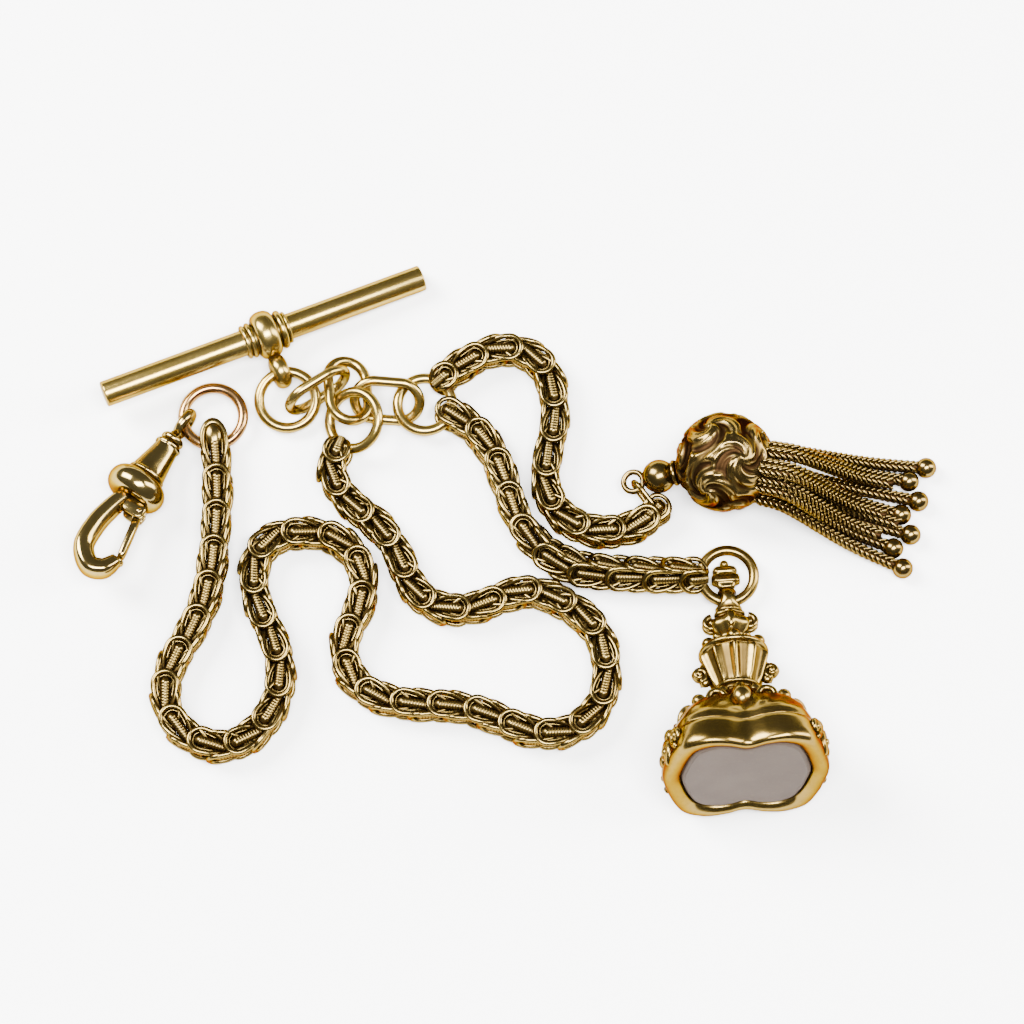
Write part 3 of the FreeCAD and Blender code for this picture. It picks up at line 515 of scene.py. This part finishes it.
for chain, (segments, pointing, far_roll) in CHAINS.items():
    places = []
    for number in range(1, segments + 1):
        node = f"{chain}_{number:02d}"
        found = [flat_place(ring) for ring in rings_in(node)]
        places += [(node, *place) for place in in_order(found, joint_place(f"{node}_bend"))]
    centres = np.array([place[1] for place in places])
    ahead = unit(np.gradient(centres, axis=0))
    looks = {}
    for index, (node, centre, axes) in enumerate(places):
        along = ahead[index] * pointing
        normal = axes[2] * (1 if axes[2] @ UPWARDS > 0 else -1)
        outward = unit(np.cross(along, normal))
        if outward[2] < TURNED_OVER:
            outward = -outward
        end = {0: "first", len(places) - 1: "last"}.get(index)
        share = np.clip((index / len(places) - ROLL_START) / ROLL_SPAN, 0, 1)
        roll = END_ROLLS.get((chain, end), 0) + far_roll * share
        angle = math.radians(roll + random.uniform(-ROLL_JITTER, ROLL_JITTER))
        lateral = np.cross(outward, along)
        outward, lateral = (
            outward * math.cos(angle) + lateral * math.sin(angle),
            lateral * math.cos(angle) - outward * math.sin(angle),
        )
        lift = np.array([0, 0, ROLL_LIFT * math.sin(math.radians(2 * far_roll * share))])
        link = END_LINKS.get((chain, end), one_link)
        looks.setdefault(node, Shape()).join(link, centre + lift, np.stack([along, lateral, outward]))
    for node, look in looks.items():
        piece(node, look)

# ---------------------------------------------------------------- dog clip
# Its own frame: z runs from the eye to the hook, x is level and leftwards in the picture, y is down.
COLLAR_REACH = 8.09
EYE_RADIUS, EYE_WIRE, STEM_RADIUS = 1.2, 0.48, 0.42
EYE_STEM = [
    (NEAR_AXIS, 1.3), (0.62, 1.35), (STEM_RADIUS, 1.7), (STEM_RADIUS, 5.0),
    (0.75, 5.02), (0.75, 5.5), (NEAR_AXIS, 5.5),
]
CUSHION_INNER, CUSHION_SWELL, CUSHION_REACH, CUSHION_HALF = 0.45, 0.72, 2.05, 0.42
UPRIGHT = np.array([[0, 0, 1], [0, 1, 0], [-1, 0, 0]])  # stands a flat ring up along z
CROSSWAYS = np.array([[1, 0, 0], [0, 0, 1], [0, -1, 0]])  # lays what was turned about z along y
eye_centre = joint_place("clip_swing")
clip_way = joint_axis("clip_swivel_turn")
clip_axes = axes_along(clip_way, joint_axis("clip_swing"))

eye = Shape().join(Shape().sweep(stadium(EYE_RADIUS, 0, 64), disc(EYE_WIRE, 18), FLAT, True), axes=UPRIGHT)
eye.lathe(EYE_STEM, 32)
piece("clip_swivel_eye", eye, eye_centre, clip_axes)

turn = half_turn(14)
swell = CUSHION_INNER + CUSHION_SWELL * np.cos(turn) ** 0.7
cushion = np.stack([swell, CUSHION_REACH + CUSHION_HALF * np.sin(turn)], 1)
piece("clip_bead", Shape().lathe(cushion, 48, loop=True), eye_centre, clip_axes)


def loft(levels, steps, segments=96, sharp=2.0):
    """Outlines stacked along z, smoothly joined, and how proud their points stand. Each level is z,
    half x, half y, power, lobes, depth. A higher sharp makes the lobes into narrow ridges."""
    rows = through(np.asarray(levels, float), steps)
    turn = full_turn(segments)
    z, half_x, half_y, power, lobes, depth = (rows[:, k, None] for k in range(6))
    c, s = np.cos(turn), np.sin(turn)
    ridge = 2 * abs(np.cos(np.round(lobes) * turn / 2)) ** sharp - 1
    raised = depth * ridge
    wave = 1 + raised
    x = half_x * np.sign(c) * abs(c) ** (2 / power) * wave
    y = half_y * np.sign(s) * abs(s) ** (2 / power) * wave
    # the second result is painted shade: darker in the grooves between the lobes
    return np.stack([x, y, z + 0 * x], -1), np.clip(0.95 + 6 * np.minimum(raised, 0), 0.1, 1)


def round_levels(rows, lobes, depth):
    return [(z, r, r, 2, lobes, depth) for z, r in rows]


def layered(outline, layers):
    """Copies of a flat outline stacked along z: each layer is its height and its size."""
    return np.stack([np.column_stack([outline * size, np.full(len(outline), z)]) for z, size in layers])


BARREL = [
    (2.6, 0.6), (2.6, 1.2), (2.75, 1.34), (2.95, 1.3), (3.05, 1.2),
    (4.8, 1.5), (6.2, 1.76), (6.35, 1.88), (6.6, 1.88),
]
rows, _ = loft(round_levels(BARREL, 8, 0.012), steps=3)
piece("clip_barrel", Shape().grid(rows), eye_centre, clip_axes)

COLLAR_INNER, COLLAR_SWELL, COLLAR_HALF = 1.62, 1.33, 1.3
turn = half_turn(28)
swell = COLLAR_INNER + COLLAR_SWELL * np.cos(turn) ** 0.85
roll = np.stack([swell, COLLAR_REACH + COLLAR_HALF * np.sin(turn)], 1)
profile = np.vstack([[NEAR_AXIS, roll[0][1]], roll, [NEAR_AXIS, roll[-1][1]]])
piece("clip_collar", Shape().lathe(profile, 72), eye_centre, clip_axes)

HOOK_ROUTE = [(0.55, 1.2), (1.0, 3.0), (1.25, 5.2), (0.9, 7.7), (-0.7, 9.1), (-2.2, 8.6), (-2.8, 7.1)]
HOOK_HALF_WIDTH, HOOK_HALF_HEIGHT, HOOK_INNER_SHARE = 1.15, 1.25, 0.62
HOOK_TIP = (0.62, 0.8, 0.4)
HOOK_ENDS, HOOK_SWELL, HOOK_TAPER, TAPER_START, TAPER_SPAN = 0.92, 0.16, 0.22, 0.82, 0.18
# the lugs that hold the gate's pin: layers of a squared plate, as distance outwards and size
LUG_LAYERS = [(0.0, 0.9), (0.04, 1.0), (0.36, 1.0), (0.4, 0.9)]
LUG_HALF, LUG_STRETCH, LUG_FORWARD, LUG_SIDE = 0.72, 1.5, 0.55, 0.75
route = through([(side, 0, COLLAR_REACH + reach) for side, reach in HOOK_ROUTE], 10)
section = disc(1, 28, 2.4)
inner_side = section[:, 0] <= 0
section[inner_side, 0] *= HOOK_INNER_SHARE
section[:, 0] *= HOOK_HALF_WIDTH
section[:, 1] *= HOOK_HALF_HEIGHT
along = np.linspace(0, 1, len(route))
taper = np.clip((along - TAPER_START) / TAPER_SPAN, 0, 1) ** 2
swell = HOOK_ENDS + HOOK_SWELL * np.sin(math.pi * along) - HOOK_TAPER * taper
hook = Shape().sweep(route, section, (0, 1, 0), scale=swell)
hook.ball(route[-1], 1.0, 24, HOOK_TIP)
gate_pivot = (joint_place("gate_open") - eye_centre) @ clip_axes.T
lug = layered(disc(LUG_HALF, 24, 3.0), LUG_LAYERS)[..., [0, 2, 1]]
for side in (1, -1):
    cheek = lug * (LUG_STRETCH, side, 1) + (LUG_FORWARD, side * LUG_SIDE, 0)
    hook.join(Shape().grid(cheek), gate_pivot)
piece("clip_hook", hook, eye_centre, clip_axes)

PIN_END = np.array([(0.25, 1.12), (0.2, 1.2), (NEAR_AXIS, 1.2)])
pin = Shape().lathe(np.vstack([(PIN_END * (1, -1))[::-1], PIN_END]), 24)
piece("clip_gate_pin", Shape().join(pin, gate_pivot, CROSSWAYS), eye_centre, clip_axes)

COIL_TURNS, COIL_RADIUS, COIL_HALF, COIL_WIRE, COIL_STEPS = 3, 0.42, 0.28, 0.08, 90
wind = np.linspace(0, COIL_TURNS * TAU, COIL_STEPS)
across = np.linspace(-COIL_HALF, COIL_HALF, COIL_STEPS)
coil = np.stack([COIL_RADIUS * np.cos(wind), across, COIL_RADIUS * np.sin(wind)], 1)
spring = Shape().join(Shape().sweep(coil, disc(COIL_WIRE, 8), (0, 1, 0)), gate_pivot)
piece("clip_gate_spring", spring, eye_centre, clip_axes)

GATE_SLANT, GATE_HALF_THICK, GATE_HALF_WIDTH = math.radians(-13), 0.4, 0.7
GATE_LAYERS = [(0.45, 0.8), (0.6, 1.0), (2.4, 1.0), (4.3, 0.95), (4.62, 0.85), (4.75, 0.6)]
KNUCKLE = [(0.31, -0.2), (0.6, -0.2), (0.65, -0.15), (0.65, 0.15), (0.6, 0.2), (0.31, 0.2)]
KNUCKLE_SIDE = 0.5
blade = disc(1, 20, 3.5) * (GATE_HALF_THICK, GATE_HALF_WIDTH)
gate = Shape().grid(layered(blade, GATE_LAYERS))
knuckle = Shape().lathe(KNUCKLE, 32, loop=True)
for side in (1, -1):
    gate.join(knuckle, (0, side * KNUCKLE_SIDE, 0), CROSSWAYS)
c, s = math.cos(GATE_SLANT), math.sin(GATE_SLANT)
slanted = np.array([[c, 0, -s], [0, 1, 0], [s, 0, c]])
piece("clip_gate", Shape().join(gate, gate_pivot, slanted), eye_centre, clip_axes)

# ---------------------------------------------------------------- tassel fob
# Its own frame: z runs from the link to the strands, with its start in the ball's middle.
BALL_RADIUS, BALL_SINK, BALL_RELIEF = 4.75, 0.17, 0.16
BALL_MOTIFS = 11
PLAIN_START, PLAIN_FADE = 0.93, 0.04  # the pattern fades out round both poles
CAP_RADIUS, CAP_DISTANCE, CAP_EYE_RADIUS, CAP_EYE_WIRE, CAP_EYE_DISTANCE = 1.6, 6.5, 0.95, 0.28, 9.05
COLLAR_RADIUS, COLLAR_WIRE, COLLAR_DISTANCE = 1.0, 0.25, 4.93
LINK_END, LINK_STRAIGHT, TASSEL_WIRE, TASSEL_SEAM = 1.1, 1.35, 0.25, 5
ball_centre = middle("tassel_ball")
tassel_way = unit(ball_centre - joint_place("tassel_swing"))
tassel_axes = axes_along(tassel_way, (0, 0, 1))


def swirl(directions, motifs, arms, twist, spread):
    """Height of an embossed pattern of curling leaves: each motif turns its arms round its centre."""
    height = np.zeros(directions.shape[:-1])
    weight = np.zeros_like(height) + 1e-6
    for number, motif in enumerate(motifs):
        frame_rows = axes_along(motif, (0.3, 0.5, 0.81))
        local = directions @ frame_rows.T
        distance = np.arccos(np.clip(local[..., 2], -1, 1)) / spread
        bearing = np.arctan2(local[..., 1], local[..., 0])
        near = np.exp(-((distance * 1.1) ** 4))
        turn_way = 1 if number % 2 else -1
        leaf = np.cos(arms * bearing + turn_way * twist * distance)
        vein = 0.5 * np.cos(5 * arms * bearing + turn_way * 3 * twist * distance)
        boss = 1.2 * np.exp(-((distance * 4.5) ** 2))
        height += near * (leaf + vein + boss)
        weight += near
    return height / weight


def spread_points(count):
    k = np.arange(count) + 0.5
    z = 1 - 2 * k / count
    turn = math.pi * (1 + 5**0.5) * k
    return np.stack([np.sqrt(1 - z * z) * np.cos(turn), np.sqrt(1 - z * z) * np.sin(turn), z], 1)


up = np.linspace(POLE_GAP, math.pi - POLE_GAP, 130)
turn = full_turn(200)
x, y = np.sin(up)[:, None] * np.cos(turn), np.sin(up)[:, None] * np.sin(turn)
directions = np.stack([x, y, np.cos(up)[:, None] + 0 * turn], -1)
pattern = swirl(directions, spread_points(BALL_MOTIFS), arms=2, twist=6.5, spread=0.62)
relief = np.clip(1.3 * pattern, -1, 1)
plain = np.clip((np.abs(directions[..., 2]) - PLAIN_START) / PLAIN_FADE, 0, 1)
relief = relief * (1 - plain) + plain
radius = BALL_RADIUS - BALL_SINK + BALL_RELIEF * relief
# painted shade: the low parts of the embossing are painted darker
ball = Shape().grid(directions * radius[..., None], proud=np.clip(0.5 + 0.62 * relief, 0, 1))
piece("tassel_ball", ball, ball_centre, tassel_axes)

cap = Shape().ball((0, 0, -CAP_DISTANCE), CAP_RADIUS, 48)
cap_eye = Shape().sweep(stadium(CAP_EYE_RADIUS, 0, 48), disc(CAP_EYE_WIRE, 14), FLAT, True)
cap.join(cap_eye, (0, 0, -CAP_EYE_DISTANCE), UPRIGHT)
piece("tassel_cap", cap, ball_centre, tassel_axes)
turn = full_turn(14)
out, along = COLLAR_WIRE * np.cos(turn), COLLAR_WIRE * np.sin(turn)
profile = np.stack([COLLAR_RADIUS + out, -COLLAR_DISTANCE + along], 1)
piece("tassel_collar", Shape().lathe(profile, 48, loop=True), ball_centre, tassel_axes)
centre, axes = flat_place(points_of("tassel_link"))
link = wire_loop(stadium(LINK_END, LINK_STRAIGHT, 64), TASSEL_WIRE, TASSEL_SEAM)
piece("tassel_link", link, centre, axes)

STRANDS = 7
STRAND_RADIUS, STRAND_BEAD, CORE_SHARE, CORE_BEYOND = 0.62, 1.0, 0.62, 0.3
GRAIN_HALF_SIZES, GRAIN_PITCH, GRAIN_SINK, GRAIN_SLANT = (0.62, 0.17, 0.24), 0.56, 0.22, 38
GRAIN_ROWS = np.radians([45, 135, 225, 315])
FIRST_GRAIN = 0.1
STRAND_ROOT, STRAND_LEAVE, LEAVE_SPREAD = 0.8, 2.5, 0.12
SETTLE_SHARE, SETTLE_HEIGHT = 0.62, 0.25
# strands with a second, beadless braid beside them, and on which side
DOUBLED = {2: 1, 3: 1, 4: -1, 6: -1}
DOUBLE_SIDE, DOUBLE_UP, DOUBLE_FADE, DOUBLE_STOP = 0.75, np.array([0, 0, 0.55]), 0.75, 1.6
strand_out = unit(np.cross(joint_axis("strand_1_swing"), (0, 0, 1)))
if strand_out[0] < 0:
    strand_out = -strand_out
strand_left = np.cross((0, 0, 1), strand_out)
grain = Shape().ball((0, 0, 0), 1, 10, GRAIN_HALF_SIZES)


def braid(strand, line, stop):
    """A braided cord along the line: a core painted dark as shade, with rows of slanting grains that meet in a V.
    """
    length = np.concatenate([[0], np.cumsum(np.linalg.norm(np.diff(line, axis=0), axis=1))])
    marks = np.arange(FIRST_GRAIN, length[-1] - stop, GRAIN_PITCH)
    places = np.stack([np.interp(marks, length, line[:, k]) for k in range(3)], 1)
    core = line[length < length[-1] - stop + CORE_BEYOND]
    # painted shade: the core between the grains is painted fully shaded
    strand.sweep(core, disc(STRAND_RADIUS * CORE_SHARE, 10), FLAT, proud=0.0)
    for place, way in zip(places, unit(np.gradient(places, axis=0))):
        side = unit(np.cross(way, (0, 0, 1)))
        top = np.cross(side, way)
        for row, angle in enumerate(GRAIN_ROWS):
            outward = side * math.cos(angle) + top * math.sin(angle)
            across = np.cross(outward, way)
            slant = math.radians(GRAIN_SLANT if row % 2 else -GRAIN_SLANT)
            long_way = way * math.cos(slant) + across * math.sin(slant)
            offset = way * (GRAIN_PITCH / 2 * (row % 2))
            rows = np.stack([long_way, np.cross(outward, long_way), outward])
            strand.join(grain, place + offset + outward * (STRAND_RADIUS - GRAIN_SINK), rows)


for number in range(1, STRANDS + 1):
    node = f"tassel_strand_{number}"
    points = points_of(node)
    start = joint_place(f"strand_{number}_swing")
    outmost = points[np.argmax(points @ strand_out)]
    end = outmost - strand_out * STRAND_BEAD
    end[2] = points[:, 2].min() + STRAND_BEAD
    sideways = (end - start) @ strand_left
    leave = start + strand_out * STRAND_LEAVE + strand_left * sideways * LEAVE_SPREAD
    settle = start + (end - start) * SETTLE_SHARE
    floor_height = end[2] - STRAND_BEAD + STRAND_RADIUS
    settle[2] = floor_height + SETTLE_HEIGHT * (start[2] - floor_height)
    line = through([start - strand_out * STRAND_ROOT, leave, settle, end], 24)
    strand = Shape()
    braid(strand, line, STRAND_BEAD * 0.7)
    if number in DOUBLED:
        beside = strand_left * DOUBLE_SIDE * DOUBLED[number] + DOUBLE_UP
        fade = np.linspace(1, DOUBLE_FADE, len(line))[:, None]
        braid(strand, line + beside * fade, DOUBLE_STOP)
    strand.ball(end, STRAND_BEAD * 0.98, 32)
    piece(node, strand)

# ---------------------------------------------------------------- seal fob
# Its own frame: z runs from the loop to the stone, x up off the table, y across.
seal_origin = joint_place("seal_swing")
seal_way = unit(next(m["axis"] for m in frame["record"]["mounts"] if m["name"] == "seal_face"))
seal_axes = axes_along(seal_way, (0, 0, 1))


def volute(shape, centre, along, out, size, wire, hand, turns):
    """A scroll: a tapering wire that curls inwards and ends in a small boss."""
    t = np.linspace(0, 1, 40)
    radius = size * (1 - 0.8 * t)
    angle = hand * turns * TAU * t
    along, out = unit(along), unit(out)
    across = np.cross(out, along)
    curl = radius[:, None] * (np.cos(angle)[:, None] * along + np.sin(angle)[:, None] * across)
    path = np.asarray(centre) + curl + out * (0.1 * size * t)[:, None]
    shape.sweep(path, disc(wire, 10), out, scale=1 - 0.4 * t)
    shape.ball(np.asarray(centre) + out * 0.1 * size, wire * 1.2, 12)


LOOP_INNER, LOOP_OUTER, LOOP_WIDTH = 0.75, 1.35, 1.0
# levels of the loop's top bar: z, half x, half y
TOP_BAR = [
    (-3.75, 0.25, 0.6), (-3.6, 0.45, 1.0), (-3.3, 0.5, 1.15), (-3.1, 0.5, 1.15), (-2.95, 0.42, 0.95),
    (-2.8, 0.42, 0.95), (-2.65, 0.6, 1.3), (-2.1, 0.65, 1.35), (-1.9, 0.6, 1.3), (-1.75, 0.45, 1.0),
    (-1.3, 0.4, 0.7),
]
LOOP_FOOT = [(NEAR_AXIS, 0.9), (0.9, 0.95), (1.2, 1.1), (1.35, 1.25), (1.35, 1.5), (NEAR_AXIS, 1.5)]
turn = full_turn(64)
profile = d_band(LOOP_INNER, LOOP_OUTER, LOOP_WIDTH)
widths = 1.25 + 1.3 * np.clip(np.cos(turn), 0, 1) ** 2 + 0.5 * np.clip(-np.cos(turn), 0, 1) ** 2
strap = np.stack([
    np.stack([profile[:, 0] * math.sin(a), profile[:, 1] * w, profile[:, 0] * math.cos(a)], 1)
    for a, w in zip(turn, widths)
])
loop = Shape().grid(strap, loop=True)
rows, _ = loft([(z, x, y, 3.2, 0, 0) for z, x, y in TOP_BAR], steps=3, segments=48)
loop.grid(rows + (0.27, 0, 0))
loop.ball((0.3, 0, -4.0), 0.42, 20)
loop.lathe(LOOP_FOOT, 48)
piece("seal_loop", loop, seal_origin, seal_axes)

URN = [
    (1.5, 1.35), (1.65, 1.5), (1.85, 1.5), (2.0, 1.3), (2.4, 1.75), (3.0, 1.85),
    (3.6, 1.5), (4.1, 1.15), (4.5, 1.3), (4.9, 1.9), (5.1, 2.1), (5.2, 2.0),
]
rows, shade = loft(round_levels(URN, 6, 0.05), steps=4)
urn = Shape().grid(rows, proud=shade)
for side in (1, -1):
    volute(urn, (0.35, side * 1.75, 2.55), (0, 0, -1), (1, 0, 0), 0.72, 0.32, side, 1.3)
    volute(urn, (-0.35, side * 1.75, 2.55), (0, 0, -1), (-1, 0, 0), 0.72, 0.32, -side, 1.3)
    urn.ball((side * 1.5, 0, 2.7), 1, 24, (0.5, 0.55, 0.95))
    urn.ball((0.2, side * 1.35, 3.9), 0.45, 16)
piece("seal_urn", urn, seal_origin, seal_axes)

# levels of the vase: z, radius, depth of the flutes
VASE = [
    (5.2, 1.9, 0.0), (5.35, 2.85, 0.0), (5.55, 3.2, 0.0), (5.8, 3.3, 0.0), (6.0, 3.2, 0.0),
    (6.15, 2.95, 0.02), (6.35, 3.1, 0.08), (7.0, 2.95, 0.1), (8.0, 2.6, 0.1), (9.0, 2.25, 0.1),
    (9.55, 2.05, 0.05), (9.7, 2.2, 0.0), (9.9, 2.2, 0.0), (10.05, 1.9, 0.0), (10.2, 1.8, 0.0),
]
FLUTES = 10
rows, shade = loft([(z, r, r, 2, FLUTES, d) for z, r, d in VASE], steps=4, segments=200, sharp=5.0)
vase = Shape().grid(rows, proud=shade)
for number in range(6):
    angle = TAU * number / 6
    vase.ball((2.65 * math.cos(angle), 2.65 * math.sin(angle), 5.35), 0.75, 24, (0.9, 0.9, 0.85))
for side in (1, -1):
    for face in (1, -1):
        volute(vase, (0.3 * face, side * 3.35, 8.0), (0, 0, 1), (face, 0, 0), 0.72, 0.32, side * face, 1.3)
    vase.ball((0, side * 2.9, 8.6), 0.6, 20, (0.8, 1, 1))
    vase.ball((0, side * 3.5, 7.9), 0.62, 24)
piece("seal_vase", vase, seal_origin, seal_axes)

BASE_HALF_X, BASE_HALF_Y = 7.0, 7.7
# one quarter of the rim's outline, as shares of its half sizes: from the side's point round a
# rounded corner to the dip in the middle of the long side
QUARTER = np.array([
    (0.0, 1.0), (0.3, 0.955), (0.62, 0.87), (0.88, 0.74), (1.0, 0.5), (0.975, 0.25), (0.88, 0.0),
])
half_outline = np.vstack([QUARTER, (QUARTER * (1, -1))[::-1][1:]])
OUTLINE = through(np.vstack([half_outline, (half_outline * (-1, 1))[::-1][1:-1]]), 10, closed=True)
bearing = np.arctan2(OUTLINE[:, 1], OUTLINE[:, 0])


def cartouche(share, ripe=1.0):
    """The rim's outline at a share of its full size; an unripe one is nearer a circle."""
    round_x, round_y = BASE_HALF_X * np.cos(bearing), BASE_HALF_X * np.sin(bearing)
    x = round_x + (BASE_HALF_X * OUTLINE[:, 0] - round_x) * ripe
    y = round_y + (BASE_HALF_Y * OUTLINE[:, 1] - round_y) * ripe
    return x * share, y * share


# levels of the dome: z, share of the outline's size
DOME = [
    (10.2, 0.26), (10.45, 0.33), (10.7, 0.31), (11.0, 0.35), (11.6, 0.5),
    (12.6, 0.66), (13.6, 0.77), (14.6, 0.86), (15.5, 0.92), (16.3, 0.94),
]
LEAVES, VEINS, LEAF_HEIGHT = 10, 22, 0.03
LEAF_START, LEAF_STOP, LEAF_FADE = 11.0, 15.3, 0.8
rows = []
proud = []
for z, share in through(DOME, 10):
    x, y = cartouche(share, np.clip((z - 10.8) / 3, 0, 1))
    leaf = 0.6 * np.cos(LEAVES * bearing + 2.2 * np.sin(2 * bearing) + 1.1 * (z - LEAF_START))
    leaf += 0.4 * np.cos(VEINS * bearing - 2.2 * (z - LEAF_START))
    leaf *= np.clip((z - LEAF_START) / LEAF_FADE, 0, 1) * np.clip((LEAF_STOP - z) / LEAF_FADE, 0, 1)
    rows.append(np.stack([x * (1 + LEAF_HEIGHT * leaf), y * (1 + LEAF_HEIGHT * leaf), z + 0.1 * leaf], 1))
    # painted shade: the hollows between the leaves are painted darker
    proud.append(np.clip(0.9 + 0.7 * np.minimum(leaf, 0), 0, 1))
dome = Shape().grid(np.array(rows), proud=np.array(proud))
for number in range(10):
    angle = TAU * number / 10
    dome.ball((2.55 * math.cos(angle), 2.55 * math.sin(angle), 11.05), 0.62, 20, (1, 1, 1.15))
for face in (1, -1):
    dome.ball((face * 4.7, 0, 13.1), 1, 28, (0.8, 0.95, 1.1))
    for side in (1, -1):
        out = (face, 0, -0.5)
        volute(dome, (face * 4.5, side * 2.4, 13.3), (0, 0, 1), out, 1.25, 0.34, side * face, 1.5)
        out = (face, side, -0.5)
        volute(dome, (face * 3.1, side * 5.0, 14.1), (0, 0, 1), out, 1.2, 0.34, -side * face, 1.5)
        dome.ball((face * 2.2, side * 6.75, 15.7), 1, 20, (0.9, 0.6, 0.8))
        dome.ball((face * 3.7, side * 3.9, 12.9), 0.7, 20)
for side in (1, -1):
    volute(dome, (0, side * 5.95, 14.3), (0, 0, 1), (0, side, -0.5), 1.2, 0.36, 1, 1.5)
    dome.ball((0, side * 4.6, 12.7), 0.8, 20)
piece("seal_dome", dome, seal_origin, seal_axes)

# levels of the rim, up its outside and down into its bed, and of the stone in it
RIM = [
    (16.2, 0.86), (16.25, 0.93), (16.6, 0.96), (17.0, 0.975), (17.6, 0.99), (18.2, 1.0), (18.7, 0.995),
    (19.05, 0.97), (19.2, 0.92), (19.15, 0.86), (18.95, 0.81), (18.75, 0.79), (18.5, 0.785),
    (17.6, 0.785), (17.3, 0.7),
]
STONE = [
    (17.35, 0.6), (17.6, 0.775), (18.5, 0.775), (18.75, 0.765),
    (18.88, 0.74), (18.93, 0.7), (18.97, 0.4), (18.98, 0.05),
]


def cartouche_rows(levels, steps):
    outlines = []
    for z, share in through(levels, steps):
        x, y = cartouche(share)
        outlines.append(np.stack([x, y, z + 0 * x], 1))
    return np.array(outlines)


rim = Shape().grid(cartouche_rows(RIM, 4))
for side in (1, -1):
    rim.ball((0, side * 7.35, 16.9), 0.75, 24, (1, 0.7, 1))
    for face in (1, -1):
        out = (0.2 * face, side, -0.2)
        volute(rim, (face * 2.3, side * 7.15, 17.3), (0, 0, 1), out, 1.15, 0.4, side * face, 1.4)
        out = (0.5 * face, side, -0.2)
        volute(rim, (face * 4.9, side * 6.35, 17.1), (0, 0, 1), out, 0.9, 0.34, -side * face, 1.3)
piece("seal_rim", rim, seal_origin, seal_axes)
piece("seal_stone", Shape().grid(cartouche_rows(STONE, 4)), seal_origin, seal_axes)

# ---------------------------------------------------------------- floor, light and camera
# Lamps, floor and camera are placed in metres in the shared frame.
FLOOR_SIZE = 3.0
FLOOR_WHITE, FLOOR_ROUGHNESS = (0.97, 0.97, 0.97, 1), 0.7
WORLD_COLOUR, WORLD_STRENGTH = (0.95, 0.97, 1.0, 1), 0.3
WARM = (1.0, 0.97, 0.92)
ELEVATION = math.radians(75)
FIELD = 97.28 * MM  # width of what the camera sees
LENS = 150.0
AIM = Vector((0.46, 2.85, 0)) * MM
NEAREST, FARTHEST = 0.01, 10.0
bpy.ops.mesh.primitive_plane_add(size=FLOOR_SIZE, location=(0, 0, 0))
floor = bpy.context.object
floor.name = "floor"
paper, nodes, links, shader = new_material("paper")
shader.inputs["Base Color"].default_value = FLOOR_WHITE
shader.inputs["Roughness"].default_value = FLOOR_ROUGHNESS
floor.data.materials.append(paper)

world = bpy.context.scene.world or bpy.data.worlds.new("studio")
bpy.context.scene.world = world
world.use_nodes = True
world.node_tree.nodes["Background"].inputs["Color"].default_value = WORLD_COLOUR
world.node_tree.nodes["Background"].inputs["Strength"].default_value = WORLD_STRENGTH


def softbox(name, place, size, power, colour=(1, 1, 1)):
    lamp = bpy.data.lights.new(name, "AREA")
    lamp.shape = "RECTANGLE"
    lamp.size, lamp.size_y = size
    lamp.energy = power
    lamp.color = colour
    light = bpy.data.objects.new(name, lamp)
    light.location = place
    light.rotation_euler = (-Vector(place)).to_track_quat("-Z", "Y").to_euler()
    bpy.context.scene.collection.objects.link(light)


softbox("window_left", (-0.45, 0.25, 0.5), (0.3, 0.45), 24.0)
softbox("panel_top", (0.05, -0.15, 0.75), (0.5, 0.25), 30.0)
softbox("panel_right", (0.5, 0.1, 0.3), (0.2, 0.5), 9.0, WARM)

camera_data = bpy.data.cameras.new("camera")
camera_data.lens = LENS
camera = bpy.data.objects.new("camera", camera_data)
bpy.context.scene.collection.objects.link(camera)
back = Vector((0, -math.cos(ELEVATION), math.sin(ELEVATION)))
camera.location = AIM + back * (FIELD * LENS / camera_data.sensor_width)
camera.rotation_euler = back.to_track_quat("Z", "Y").to_euler()
camera_data.clip_start, camera_data.clip_end = NEAREST, FARTHEST
bpy.context.scene.camera = camera
